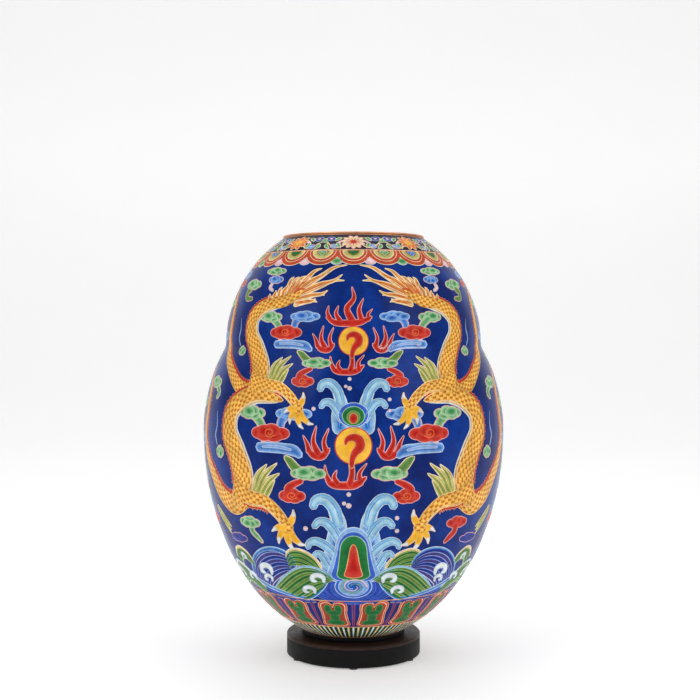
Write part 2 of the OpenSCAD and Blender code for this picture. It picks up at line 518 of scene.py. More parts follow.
DAISY = Enamel("enamel_daisy", "ffe9c8", "f4b98c")
MARIGOLD = Enamel("enamel_marigold", "e4571c", "f9a45e")


# ---------------------------------------------------------------- the vase's skin


def widest(node: str) -> Point:
    """Find a node's ring of greatest radius.

    Args:
        node: A node turned about Z.

    Returns:
        The ring's radius and height in millimetres.
    """
    points = [vertex.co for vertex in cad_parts[node].data.vertices]
    edge = max(points, key=lambda p: math.hypot(p.x, p.y))
    return math.hypot(edge.x, edge.y) / MM, edge.z / MM


def low(node: str) -> float:
    """Return a node's lowest height in millimetres."""
    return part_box(node)[0][2] / MM


def high(node: str) -> float:
    """Return a node's greatest height in millimetres."""
    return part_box(node)[1][2] / MM


class Skin:
    """The vase's outline: three elliptic arcs, and where things lie along them."""

    step = 0.5
    fillet = 7.0

    def __init__(self) -> None:
        """Work the arcs out from the enamel fields of the frame."""
        self.waist_r, self.waist = widest("enamel_upper_field")
        self.belly_r, self.belly = widest("enamel_lower_field")
        self.bottom = low("enamel_fringe_field")
        shoulder = widest("enamel_scroll_field")
        fringe = widest("enamel_fringe_field")
        self.wire = shoulder[1] - high("enamel_collar_field")
        self.mouth = high("enamel_scroll_field") + self.wire
        self.dome = self.rise(shoulder[1] - self.waist, shoulder[0], self.waist_r)
        self.neck = self.rise(self.waist - self.belly, self.waist_r, self.belly_r)
        self.bowl = self.rise(self.belly - fringe[1], fringe[0], self.belly_r)
        lower = np.arange(self.bottom, self.waist, self.step)
        upper = np.arange(self.waist + self.step, self.mouth, self.step)
        self.z = np.concatenate([lower, [self.waist], upper, [self.mouth]])
        self.r = self.radius(self.z)
        self.normal = self.normals()
        self.soften()
        lengths = np.hypot(np.diff(self.r), np.diff(self.z))
        self.s = np.concatenate([[0.0], np.cumsum(lengths)])

    @staticmethod
    def rise(height: float, radius: float, greatest: float) -> float:
        """Return the half height of the ellipse through a point above its widest place."""
        return height / math.sqrt(1 - (radius / greatest) ** 2)

    def arcs(self, z: np.ndarray) -> tuple[np.ndarray, np.ndarray, np.ndarray]:
        """Return the half width, half height and centre of the arc at each height."""
        above = [z >= self.waist, z >= self.belly]
        wide = np.select(above, [self.waist_r, self.belly_r], self.belly_r)
        tall = np.select(above, [self.dome, self.neck], self.bowl)
        middle = np.select(above, [self.waist, self.belly], self.belly)
        return wide, tall, middle

    def radius(self, z: np.ndarray) -> np.ndarray:
        """Return the outline's radius at each height."""
        wide, tall, middle = self.arcs(z)
        return wide * np.sqrt(np.clip(1 - ((z - middle) / tall) ** 2, 0, 1))

    def normals(self) -> np.ndarray:
        """Return the outward normals, as one row of radii and one of heights."""
        wide, tall, middle = self.arcs(self.z)
        slopes = np.stack([self.r / wide ** 2, (self.z - middle) / tall ** 2])
        return slopes / np.hypot(*slopes)

    def soften(self) -> None:
        """Ease the crease between the two lobes into a small fillet."""
        near = np.abs(self.z - self.waist) < 2 * self.fillet
        reach = int(self.fillet / self.step)
        kernel = np.full(2 * reach + 1, 1 / (2 * reach + 1))
        for row in (self.r, self.z, *self.normal):
            row[near] = np.convolve(row, kernel, "same")[near]

    def along(self, z: float) -> float:
        """Return the length of the outline from its lower edge up to a height."""
        return float(np.interp(z, self.z, self.s))

    def at(self, s: np.ndarray, lift: np.ndarray) -> tuple[np.ndarray, np.ndarray]:
        """Find places above the outline.

        Args:
            s: Lengths along the outline.
            lift: Heights above it, along its normal.

        Returns:
            Radii and heights.
        """
        r, z, out, up = (np.interp(s, self.s, row) for row in (self.r, self.z, *self.normal))
        return r + out * lift, z + up * lift


@dataclass(frozen=True)
class Sheet:
    """A flat drawing sheet wrapped on the skin.

    Attributes:
        skin: The vase's outline.
        origin: Where the sheet's zero lies along the outline.
        scale: How large the drawing is laid.
        turn: Angle of the sheet's middle from the front.
        side: 1, or -1 to mirror the drawing.
    """

    skin: Skin
    origin: float
    scale: float = 1.0
    turn: float = 0.0
    side: int = 1

    def place(self, u: np.ndarray, v: np.ndarray, lift: np.ndarray) -> np.ndarray:
        """Wrap places of the drawing on the skin.

        Args:
            u: Places across the sheet.
            v: Places up the sheet.
            lift: Heights above the skin.

        Returns:
            One row of x, y and z in metres for each place.
        """
        s = self.origin + v * self.scale
        girth = np.interp(s, self.skin.s, self.skin.r)
        angle = self.turn + self.side * u * self.scale / girth
        r, z = self.skin.at(s, lift)
        return np.stack([r * np.sin(angle), -r * np.cos(angle), z], axis=1) * MM


# ---------------------------------------------------------------- shapes on the skin


def glide(rows: np.ndarray, share: np.ndarray) -> np.ndarray:
    """Run a smooth curve through rows of numbers.

    Args:
        rows: Points, with any further numbers after their two coordinates.
        share: Shares of the way along the curve.

    Returns:
        One row for each share.
    """
    chord = np.concatenate([[0.0], np.cumsum(np.hypot(*np.diff(rows[:, :2], axis=0).T))])
    slopes = np.gradient(rows, chord, axis=0)
    way = share * chord[-1]
    i = np.clip(np.searchsorted(chord, way, side="right") - 1, 0, len(rows) - 2)
    gap = (chord[i + 1] - chord[i])[:, None]
    f = (way - chord[i])[:, None] / gap
    start = (2 * f ** 3 - 3 * f ** 2 + 1) * rows[i] + (f ** 3 - 2 * f ** 2 + f) * gap * slopes[i]
    end = (3 * f ** 2 - 2 * f ** 3) * rows[i + 1] + (f ** 3 - f ** 2) * gap * slopes[i + 1]
    return start + end


def length_of(rows: np.ndarray) -> float:
    """Return the length of the path through rows of points."""
    return float(np.sum(np.hypot(*np.diff(rows[:, :2], axis=0).T)))


@dataclass
class Laid:
    """A grid laid over a shape: its places, shading depth and pattern coordinates."""

    u: np.ndarray
    v: np.ndarray
    depth: np.ndarray
    along: np.ndarray
    across: np.ndarray


class Shape:
    """A flat shape in millimetres that a square grid can be laid over."""

    closed = False

    def steps(self) -> tuple[int, int]:
        """Return how many cells the grid has each way."""
        raise NotImplementedError

    def lay(self, x: np.ndarray, y: np.ndarray, grow: float) -> Laid:
        """Lay a grid over the shape.

        Args:
            x: Grid coordinates from -1 to 1.
            y: The same the other way.
            grow: How far the shape's edge is moved outwards.

        Returns:
            The laid grid.
        """
        raise NotImplementedError


class Ribbon(Shape):
    """A band of changing width along a smooth path, with round ends."""

    def __init__(self, *rows: Sequence[float], cells: int = 0) -> None:
        """Take the path.

        Args:
            rows: The path's points, each with half the width of the band there.
            cells: How many cells lie across the band, or 0 for as many as it needs.
        """
        self.rows = np.array(rows, float)
        self.length = length_of(self.rows)
        self.cells = cells or int(np.clip(self.rows[:, 2].max() / 2.6, 2, 12)) + 2

    def steps(self) -> tuple[int, int]:
        """Cells about as long as they are wide."""
        pitch = max(1.6, self.rows[:, 2].max() / self.cells * 2.2)
        return int(np.clip(self.length / pitch, 7, 130)) + 4, self.cells

    def middle(self, way: np.ndarray) -> tuple[np.ndarray, np.ndarray, np.ndarray]:
        """Find the path's middle line, carried on straight past its ends.

        Args:
            way: Distances along the path.

        Returns:
            Points, their unit tangents, and half widths.
        """
        held = np.clip(way, 0, self.length)
        rows = glide(self.rows, held / self.length)
        tiny = 0.002
        ahead = glide(self.rows, np.clip(held / self.length + tiny, 0, 1))
        back = glide(self.rows, np.clip(held / self.length - tiny, 0, 1))
        run = (ahead - back)[:, :2]
        run /= np.maximum(np.hypot(*run.T), 1e-9)[:, None]
        return rows[:, :2] + run * (way - held)[:, None], run, np.clip(rows[:, 2], 0.0, None)

    def lay(self, x: np.ndarray, y: np.ndarray, grow: float) -> Laid:
        """Lay the grid along the path.

        Args:
            x: Places along the grid, from -1 to 1.
            y: Places across the grid, from -1 to 1.
            grow: How far the shape is let out.

        Returns:
            The grid laid out.
        """
        first, last = self.rows[0, 2] + grow + 0.01, self.rows[-1, 2] + grow + 0.01
        way = -first + (self.length + first + last) * (x + 1) / 2
        points, run, half = self.middle(way)
        start = np.clip(-way / first, 0, 1)
        end = np.clip((way - self.length) / last, 0, 1)
        half = (half + grow) * np.sqrt(1 - start ** 2) * np.sqrt(1 - end ** 2)
        aside = half * y
        depth = np.minimum(1 - np.abs(y), np.minimum(way + first, self.length + last - way)
                           / self.rows[:, 2].max())
        return Laid(points[:, 0] - run[:, 1] * aside, points[:, 1] + run[:, 0] * aside,
                    depth, way, aside)

    def beside(self, share: float, extra: float, half: float, start: float = 0.0,
               end: float = 1.0) -> "Ribbon":
        """Run a narrower band along this one.

        Args:
            share: Where it runs, from the right edge at -1 to the left edge at 1.
            extra: How much further out it runs.
            half: Half of its width, which tapers to its ends.
            start: Where it starts, as a share of the length.
            end: Where it ends.

        Returns:
            The narrower band.
        """
        way = np.linspace(start, end, max(5, int(self.length / 12))) * self.length
        points, run, wide = self.middle(way)
        off = share * wide + extra
        taper = half * np.clip(4 * np.minimum(way - way[0], way[-1] - way) / self.length + 0.25,
                               0, 1)
        rows = np.stack([points[:, 0] - run[:, 1] * off, points[:, 1] + run[:, 0] * off, taper])
        return Ribbon(*rows.T)


class Loop(Shape):
    """The inside of a smooth closed outline."""

    closed = True

    def __init__(self, middle: Point, *points: Point) -> None:
        """Take the outline.

        Args:
            middle: A place inside from which the whole outline can be seen.
            points: The outline's points, anticlockwise.
        """
        self.centre = np.array(middle, float)
        ring = np.array(points, float)
        self.count = len(ring)
        self.rows = np.vstack([ring[-3:], ring, ring[:4]])
        self.size = float(np.hypot(*(ring - self.centre).T).max())

    def steps(self) -> tuple[int, int]:
        """Cells of a few millimetres, and never fewer than a round outline needs."""
        return int(np.clip(self.size * 1.6, 18, 96)), int(np.clip(self.size / 4, 3, 9)) + 1

    def outline(self, share: np.ndarray) -> np.ndarray:
        """Return the outline's places at shares of the way round."""
        chord = np.concatenate([[0.0], np.cumsum(np.hypot(*np.diff(self.rows, axis=0).T))])
        way = chord[3] + share * (chord[3 + self.count] - chord[3])
        return glide(self.rows, way / chord[-1])

    def lay(self, x: np.ndarray, y: np.ndarray, grow: float) -> Laid:
        """Lay the grid in rings about the middle.

        Args:
            x: Places along the grid, from -1 to 1.
            y: Places across the grid, from -1 to 1.
            grow: How far the shape is let out.

        Returns:
            The grid laid out.
        """
        share = (x + 1) / 2
        edge = self.outline(share)
        run = self.outline(share + 0.003) - self.outline(share - 0.003)
        run /= np.hypot(*run.T)[:, None]
        edge = edge + grow * np.stack([run[:, 1], -run[:, 0]], axis=1)
        ring = ((y + 1) / 2)[:, None]
        place = self.centre + (edge - self.centre) * ring
        depth = np.clip((1 - ring[:, 0]) * 1.2, 0, 1)
        off = place - self.centre
        return Laid(place[:, 0], place[:, 1], depth, off[:, 0], off[:, 1])


def aimed(start: Point, angle: float, reach: float) -> Point:
    """Return the point at a reach from another, at an angle in degrees."""
    turn = math.radians(angle)
    return start[0] + reach * math.cos(turn), start[1] + reach * math.sin(turn)


def arch(left: Point, right: Point, rise: float, lean: float = 0.0, steep: float = 1.0) -> (
        list[Point]):
    """Draw a wave's back as an arch from foot to foot.

    Args:
        left: Its left foot.
        right: Its right foot.
        rise: How far it rises above the line between its feet.
        lean: How far its peak leans to the right.
        steep: 1 for the steep ends of an ellipse, 0 for the slack ends of a sine.

    Returns:
        The points along it.
    """
    points = []
    for i in range(9):
        turn = math.pi * i / 8
        share = i / 8 + steep * ((1 - math.cos(turn)) / 2 - i / 8)
        points.append((left[0] + (right[0] - left[0]) * share + lean * math.sin(turn),
                       left[1] + (right[1] - left[1]) * share + rise * math.sin(turn)))
    return points


def oval(u: float, v: float, wide: float, tall: float, lean: float = 0.0) -> Loop:
    """Make an ellipse.

    Args:
        u: Its middle.
        v: Its middle.
        wide: Half of its width.
        tall: Half of its height.
        lean: How far it is turned, in degrees.

    Returns:
        The ellipse's loop.
    """
    c, s = math.cos(math.radians(lean)), math.sin(math.radians(lean))
    turns = [FULL_TURN * i / 12 for i in range(12)]
    ring = [(wide * math.cos(a), tall * math.sin(a)) for a in turns]
    return Loop((u, v), *[(u + p * c - q * s, v + p * s + q * c) for p, q in ring])


class Band(Shape):
    """The stretch between two smooth paths, or a share of it."""

    def __init__(
        self, upper: Sequence[Point], lower: Sequence[Point], start: float = 0.0,
        end: float = 1.0,
    ) -> None:
        """Take the two paths, which run the same way.

        Args:
            upper: The first path's points.
            lower: The second path's points.
            start: Where the stretch starts between them.
            end: Where it ends.
        """
        self.upper = np.array(upper, float)
        self.lower = np.array(lower, float)
        self.start = start
        self.end = end

    def steps(self) -> tuple[int, int]:
        """Cells of a few millimetres."""
        gap = np.hypot(*(self.upper.mean(axis=0) - self.lower.mean(axis=0)))
        return (int(np.clip(length_of(self.upper) / 4, 10, 60)),
                int(np.clip(gap * (self.end - self.start) / 5, 1, 10)) + 3)

    def lay(self, x: np.ndarray, y: np.ndarray, grow: float) -> Laid:
        """Lay the grid between the paths.

        Args:
            x: Places along the grid, from -1 to 1.
            y: Places across the grid, from -1 to 1.
            grow: How far the shape is let out.

        Returns:
            The grid laid out.
        """
        share = (x + 1) / 2
        top, foot = glide(self.upper, share), glide(self.lower, share)
        span = top - foot
        reach = np.maximum(np.hypot(*span.T), 1e-6)[:, None]
        down = (self.start + (self.end - self.start) * (1 - y) / 2)[:, None]
        place = top + (foot - top) * down + span / reach * (grow * y)[:, None]
        run = glide(self.upper, np.clip(share + 0.01, 0, 1)) - glide(
            self.upper, np.clip(share - 0.01, 0, 1))
        run /= np.maximum(np.hypot(*run.T), 1e-9)[:, None]
        place = place + run * (grow * x)[:, None]
        depth = np.minimum(1 - np.abs(y), 4 * (1 - np.abs(x)))
        return Laid(place[:, 0], place[:, 1], depth, share * 100, down[:, 0] * reach[:, 0])


GROUND_LIFT = -0.9
BURIED_LIFT = -1.1
INNER_LIFT = -1.5
LINE_LIFT = 0.15
LEVEL_LIFT = 0.2
FILL_LIFT = 0.09


class Cells:
    """One piece of the decoration: raised cells of one finish."""

    def __init__(self, name: str, finish: Finish) -> None:
        """Start the piece.

        Args:
            name: The piece's name.
            finish: Its finish.
        """
        self.name = name
        self.finish = finish
        self.mesh = bmesh.new()
        self.rows: dict[str, list[np.ndarray]] = {
            key: [] for key in ("place", "depth", "pattern", "brink", "faces")
        }

    def add(self, sheet: Sheet, shape: Shape, lift: float, grow: float = 0.0) -> None:
        """Lay one raised cell, whose edge runs down into the ground.

        Args:
            sheet: The sheet it is drawn on.
            shape: Its shape.
            lift: Its height above the skin.
            grow: How far its edge is moved outwards.
        """
        nx, ny = shape.steps()
        first = len(self.mesh.faces)
        made = bmesh.ops.create_grid(self.mesh, x_segments=nx, y_segments=ny, size=1.0)
        x, y = np.array([vert.co for vert in made["verts"]])[:, :2].T
        if shape.closed:
            rim = y > 0.999
            y = (y + 1) * ny / (ny - 1) - 1
            brink = np.abs(y - 1) < 1e-4
        else:
            rim = (np.abs(x) > 0.999) | (np.abs(y) > 0.999)
            x, y = x * nx / (nx - 2), y * ny / (ny - 2)
            brink = (np.abs(np.maximum(np.abs(x), np.abs(y)) - 1) < 1e-4) & ~rim
        laid = shape.lay(np.clip(x, -1, 1), np.clip(y, -1, 1), grow)
        lifts = np.where(rim, BURIED_LIFT, lift + 0.008 * (len(self.rows["faces"]) % 8))
        self.rows["place"].append(sheet.place(laid.u, laid.v, lifts))
        self.rows["depth"].append(laid.depth * (grow == 0.0))
        self.rows["pattern"].append(np.stack([laid.along, laid.across, 0 * lifts], axis=1))
        self.rows["brink"].append(brink)
        count = len(self.mesh.faces) - first
        self.rows["faces"].append(np.full(count, len(self.rows["faces"])))

    def build(self) -> bpy.types.Object:
        """Set every cell's places, turn them all outwards and make the piece's object."""
        data = bpy.data.meshes.new(self.name)
        self.mesh.to_mesh(data)
        self.mesh.free()
        rows = {key: np.concatenate(parts) for key, parts in self.rows.items()}
        data.vertices.foreach_set("co", rows["place"].ravel())
        depth = data.attributes.new("depth", "FLOAT", "POINT")
        depth.data.foreach_set("value", np.clip(rows["depth"], 0, 1))
        pattern = data.attributes.new("pattern", "FLOAT_VECTOR", "POINT")
        pattern.data.foreach_set("vector", rows["pattern"].ravel())
        ends = np.zeros(len(data.edges) * 2, dtype=np.int32)
        data.edges.foreach_get("vertices", ends)
        sharp = data.attributes.new("sharp_edge", "BOOLEAN", "EDGE")
        sharp.data.foreach_set("value", rows["brink"][ends.reshape(-1, 2)].all(axis=1))
        data.update()
        mesh = bmesh.new()
        mesh.from_mesh(data)
        bpy.data.meshes.remove(data)
        inward = self.inward(mesh, rows["faces"])
        mesh.faces.ensure_lookup_table()
        bmesh.ops.reverse_faces(mesh, faces=[mesh.faces[i] for i in inward])
        bmesh.ops.remove_doubles(mesh, verts=mesh.verts, dist=1e-6)
        for face in mesh.faces:
            face.smooth = True
        return finished(mesh, self.name, self.finish, "vase")

    @staticmethod
    def inward(mesh: bmesh.types.BMesh, cell: np.ndarray) -> np.ndarray:
        """Find the faces of the cells that look inwards.

        Args:
            mesh: The mesh.
            cell: The number of each face's cell.

        Returns:
            The faces' indices.
        """
        out = []
        for face in mesh.faces:
            middle = face.verts[0].co
            normal = face.normal * face.calc_area()
            out.append(normal.x * middle.x + normal.y * middle.y)
        total = np.bincount(cell, weights=np.array(out))
        return np.flatnonzero(total[cell] < 0)


def finished(
    mesh: bmesh.types.BMesh, name: str, finish: Finish, body: str, *nodes: str
) -> bpy.types.Object:
    """Turn a mesh into a dressed piece that rides on its body.

    Args:
        mesh: The mesh, which is freed.
        name: The piece's name.
        finish: Its finish.
        body: The body it rides on.
        nodes: The nodes it stands for.

    Returns:
        The piece.
    """
    data = bpy.data.meshes.new(name)
    mesh.to_mesh(data)
    mesh.free()
    data.materials.append(finish.material())
    piece = bpy.data.objects.new(name, data)
    bpy.context.scene.collection.objects.link(piece)
    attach(piece, body)
    if nodes:
        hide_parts(*nodes)
    log.info("%s: %d faces, %s", name, len(data.polygons), finish.name)
    return piece


def turned(
    name: str, profile: Sequence[Point], finish: Finish, body: str, *nodes: str,
    steps: int = 192,
) -> bpy.types.Object:
    """Turn a closed profile about the Z axis.

    Args:
        name: The piece's name.
        profile: Radius and height of each corner, in millimetres.
        finish: The piece's finish.
        body: The body it rides on.
        nodes: The nodes it stands for.
        steps: How many steps the turn takes.

    Returns:
        The piece.
    """
    mesh = bmesh.new()
    verts = [mesh.verts.new((r * MM, 0, z * MM)) for r, z in profile]
    edges = [mesh.edges.new((verts[i - 1], vert)) for i, vert in enumerate(verts)]
    bmesh.ops.spin(mesh, geom=verts + edges, cent=(0, 0, 0), axis=(0, 0, 1),
                   angle=FULL_TURN, steps=steps, use_merge=True)
    bmesh.ops.remove_doubles(mesh, verts=mesh.verts, dist=1e-6)
    bmesh.ops.recalc_face_normals(mesh, faces=mesh.faces)
    for face in mesh.faces:
        face.smooth = True
    for edge in mesh.edges:
        edge.smooth = edge.calc_face_angle(0.0) < math.radians(32)
    return finished(mesh, name, finish, body, *nodes)


def eased(corners: Sequence[Point], size: float, count: int = 3) -> list[Point]:
    """Round the corners of a closed profile.

    Args:
        corners: The profile's corners.
        size: How far from a corner its rounding starts.
        count: How many steps each rounding takes.

    Returns:
        The rounded profile. A corner on the axis stays as it is.
    """
    profile = []
    for i, here in enumerate(corners):
        before, after = corners[i - 1], corners[(i + 1) % len(corners)]
        if here[0] == 0:
            profile.append(here)
            continue
        ends = []
        for other in (before, after):
            gap = math.dist(here, other)
            share = min(size, gap * 0.4) / gap
            ends.append([a + (b - a) * share for a, b in zip(here, other)])
        for k in range(count + 1):
            t = k / count
            profile.append(tuple(
                a * (1 - t) ** 2 + 2 * c * t * (1 - t) + b * t ** 2
                for a, c, b in zip(ends[0], here, ends[1])
            ))
    return profile


class Drawing:
    """A field's decoration, kept as one piece for each finish."""

    def __init__(self, name: str) -> None:
        """Start the drawing.

        Args:
            name: The field's name, which starts the name of each piece.
        """
        self.name = name
        self.cells: dict[str, Cells] = {}

    def fill(self, sheet: Sheet, shape: Shape, finish: Finish, lift: float, grow: float) -> None:
        """Add a cell to the piece of its finish.

        Args:
            sheet: The sheet it is drawn on.
            shape: Its shape.
            finish: Its finish.
            lift: Its height above the ground.
            grow: How far its edge is moved outwards.
        """
        name = f"{self.name}_{finish.name.removeprefix('enamel_')}"
        if name not in self.cells:
            self.cells[name] = Cells(name, finish)
        self.cells[name].add(sheet, shape, GROUND_LIFT + lift, grow)

    def put(
        self, sheet: Sheet, shape: Shape, finish: Finish, line: Finish | None = GILT,
        level: int = 0, edge: float = 1.7,
    ) -> None:
        """Draw a cell with a line round it.

        Args:
            sheet: The sheet it is drawn on.
            shape: Its shape.
            finish: The cell's finish.
            line: The line's finish, or nothing for no line.
            level: 0 on the ground, 1 over another cell, 2 over both.
            edge: The line's width.
        """
        base = LINE_LIFT + LEVEL_LIFT * level
        if line:
            self.fill(sheet, shape, line, base, edge)
        self.fill(sheet, shape, finish, base + FILL_LIFT, 0.0)

    def build(self) -> list[bpy.types.Object]:
        """Make the pieces."""
        return [cells.build() for cells in self.cells.values()]


# ---------------------------------------------------------------- motifs


@dataclass
class Cloud:
    """A curling cloud: overlapping lobes, each shaded from its own edge.

    Attributes:
        u: The cloud's middle.
        v: The cloud's middle.
        wide: Its width.
        tall: Its height.
        finish: Its enamel.
        line: The line round it.
        level: Its level.
        curl: The finish of the curling line in it, or nothing.
    """

    u: float
    v: float
    wide: float
    tall: float
    finish: Finish
    line: Finish = PINK
    level: int = 0
    curl: Finish | None = None
    lobes: tuple[tuple[float, float, float, float], ...] = (
        (-0.31, -0.02, 0.19, 0.30), (0.31, -0.04, 0.19, 0.30), (-0.10, -0.16, 0.24, 0.32),
        (0.14, -0.14, 0.23, 0.32), (-0.06, 0.12, 0.22, 0.34), (0.12, 0.06, 0.24, 0.34),
    )

    def draw(self, drawing: Drawing, sheet: Sheet) -> None:
        """Draw the lobes, then the curl in the middle.

        Args:
            drawing: The drawing it is added to.
            sheet: The sheet it is drawn on.
        """
        for du, dv, a, b in self.lobes:
            lobe = oval(self.u + du * self.wide, self.v + dv * self.tall,
                        a * self.wide, b * self.tall)
            drawing.put(sheet, lobe, self.finish, self.line, self.level, 1.5)
        if self.curl is None:
            return
        size = self.tall * 0.27
        rows = []
        for i in range(9):
            turn = math.radians(-150 + 62 * i)
            reach = size * (1 - i / 11)
            rows.append((self.u + 1.4 * reach * math.cos(turn),
                         self.v + reach * math.sin(turn), 0.8))
        drawing.put(sheet, Ribbon(*rows), self.curl, None, self.level + 1)


@dataclass
class Dragon:
    """A dragon of the field: mane, scaled body, leg with its claw, tail and red fin."""

    body: Ribbon = field(default_factory=lambda: Ribbon(
        (150, 135, 9), (185, 115, 13), (230, 105, 16), (275, 90, 19), (310, 60, 22),
        (315, 20, 25), (290, -25, 27), (270, -85, 29), (290, -130, 20)))
    neck: Ribbon = field(default_factory=lambda: Ribbon(
        (160, 95, 3), (185, 100, 10), (230, 105, 17), (275, 90, 20), (310, 60, 23),
        (315, 20, 26), (290, -25, 28), (270, -85, 30), (290, -130, 20)))
    tail: Ribbon = field(default_factory=lambda: Ribbon(
        (260, -125, 20), (300, -145, 24), (340, -135, 21), (400, -85, 17), (440, -40, 14),
        (455, 0, 12), (445, 50, 10), (440, 110, 8), (455, 170, 3)))
    leg: Ribbon = field(default_factory=lambda: Ribbon(
        (285, -110, 20), (245, -125, 17), (205, -130, 14), (170, -155, 12), (150, -180, 10)))
    palm: Point = (150.0, -185.0)
    fingers: tuple[Point, ...] = ((120, 35), (230, 50), (260, 45), (305, 36), (350, 30))
    feathers: tuple[tuple[Point, Point, Point], ...] = (
        ((206, -118), (192, -96), (178, -80)), ((232, -104), (222, -72), (198, -46)),
        ((214, -112), (196, -84), (166, -64)), ((224, -108), (208, -74), (172, -42)),
    )

    def draw(self, drawing: Drawing, sheet: Sheet, mane: bool) -> None:
        """Draw the dragon.

        Args:
            drawing: The field's drawing.
            sheet: The sheet it is drawn on.
            mane: Whether its head and mane show.
        """
        body = self.body if mane else self.neck
        self.draw_fin(drawing, sheet, body)
        self.draw_feathers(drawing, sheet)
        drawing.put(sheet, self.tail, SCALES, GILT, 0)
        drawing.put(sheet, body, SCALES, GILT, 1)
        drawing.put(sheet, body.beside(-1, -2.6, 2.2, 0.02, 0.88), WHITE, None, 0)
        drawing.put(sheet, body.beside(-0.86, 0, 2.2, 0.03, 0.9), CREAM, None, 2)
        drawing.put(sheet, self.leg, SCALES, GILT, 1)
        drawing.put(sheet, self.leg.beside(0.84, 0, 1.2, 0.2, 1.0), CREAM, None, 2)
        self.draw_claw(drawing, sheet)
        if mane:
            self.draw_mane(drawing, sheet)

    def draw_fin(self, drawing: Drawing, sheet: Sheet, body: Ribbon) -> None:
        """Draw the red fin's spines down the back, inside the tail and below the leg.

        Args:
            drawing: The field's drawing.
            sheet: The sheet it is drawn on.
            body: The body's band.
        """
        runs = ((body, 1, 0.08, 0.93), (self.tail, 1, 0.1, 0.9), (self.leg, 1, 0.1, 0.62))
        for ribbon, side, start, end in runs:
            drawing.put(sheet, ribbon.beside(side, side * 2.0, 3.6, start, end), RED, GILT, 0,
                        0.8)
            count = int(ribbon.length * (end - start) / 9)
            way = np.linspace(start, end, count) * ribbon.length
            points, run, half = ribbon.middle(way)
            for point, heading, wide in zip(points, run, half):
                out = np.array([-heading[1], heading[0]]) * side
                foot = point + out * (wide + 2)
                tip = point + out * (wide + 9) + heading * 4
                spine = Ribbon((*foot, 3.4), (*((foot + tip) / 2 + heading), 2.0), (*tip, 0.3))
                drawing.put(sheet, spine, RED, GILT, 0, 0.7)

    def draw_feathers(self, drawing: Drawing, sheet: Sheet) -> None:
        """Draw the feathers of the elbow."""
        for root, middle, tip in self.feathers:
            feather = Ribbon((*root, 8.5), (*middle, 7.5), (*tip, 0.6))
            drawing.put(sheet, feather, OLIVE, CREAM, 0, 1.6)
            drawing.put(sheet, feather.beside(-0.35, 0, 0.8, 0.05, 0.85), CREAM, None, 1)
            drawing.put(sheet, feather.beside(0.35, 0, 0.8, 0.05, 0.85), MOSS, None, 1)

    def draw_claw(self, drawing: Drawing, sheet: Sheet) -> None:
        """Draw the palm, its fingers and their pale nails.

        Args:
            drawing: The drawing it is added to.
            sheet: The sheet it is drawn on.
        """
        drawing.put(sheet, oval(*self.palm, 15, 14), SCALES, GILT, 1)
        for angle, reach in self.fingers:
            joint = aimed(self.palm, angle + 6, 0.6 * reach)
            tip = aimed(self.palm, angle, reach)
            nail = aimed(self.palm, angle - 8, reach + 10)
            finger = Ribbon((*aimed(self.palm, angle, 8), 8.5), (*joint, 7), (*tip, 4))
            drawing.put(sheet, finger, YELLOW, GILT, 1)
            drawing.put(sheet, Ribbon((*tip, 4.4), (*nail, 1.2)), WHITE, GILT, 2, 0.9)

    def strands(self) -> list[tuple[Point, Point, Point]]:
        """Fan the mane out from the head, longest in the middle.

        Returns:
            Each strand's root, middle and tip, after four short ones behind the head.
        """
        fan = []
        for k in range(4):
            root = (245 - 14 * k, 106 + 3 * k)
            fan.append((root, (root[0] + 2 - 2 * k, root[1] + 12 + 4 * k),
                        (root[0] + 3 - 7 * k, root[1] + 25 + 7 * k)))
        for k in range(15):
            share = k / 14
            angle = 88 + 100 * share
            reach = (66 + 118 * math.exp(-((angle - 148) / 20) ** 2)) * (1.0, 0.86)[k % 2]
            tip = aimed((166, 116), angle, reach)
            root = (196 - 36 * math.sin(0.6 * math.pi * share),
                    118 + 14 * math.sin(math.pi * share) - 20 * share ** 2)
            middle = (root[0] + 0.55 * (tip[0] - root[0]),
                      root[1] + 0.6 * (tip[1] - root[1]) + (5, -3)[k % 2])
            fan.append((root, middle, tip))
        return fan

    def draw_mane(self, drawing: Drawing, sheet: Sheet) -> None:
        """Draw the strands that stream from the head, the back ones first.

        Args:
            drawing: The drawing it is added to.
            sheet: The sheet it is drawn on.
        """
        for k, (root, middle, tip) in enumerate(self.strands()):
            run = np.subtract(tip, middle)
            bend = np.array([-run[1], run[0]]) * (0.1 if k % 2 else -0.1)
            late = np.add(middle, run * 0.6) + bend
            strand = Ribbon((*root, 4.6), (*middle, 5.8), (*late, 3.4), (*tip, 0.4))
            drawing.put(sheet, strand, MANE, CREAM, 1 + k % 2, 1.3)
            for share in (-0.4, 0.3):
                line = strand.beside(share, 0, 0.7, 0.04, 0.84)
                drawing.put(sheet, line, CORAL, None, 2 + k % 2)
        brow = Ribbon((226, 105, 17), (196, 110, 17), (168, 121, 13), (138, 142, 4))
        drawing.put(sheet, brow, SCALES, None, 3)
        drawing.put(sheet, Ribbon((166, 133, 2), (148, 144, 3.2), (132, 144, 1)), CORAL, None,
                    3)


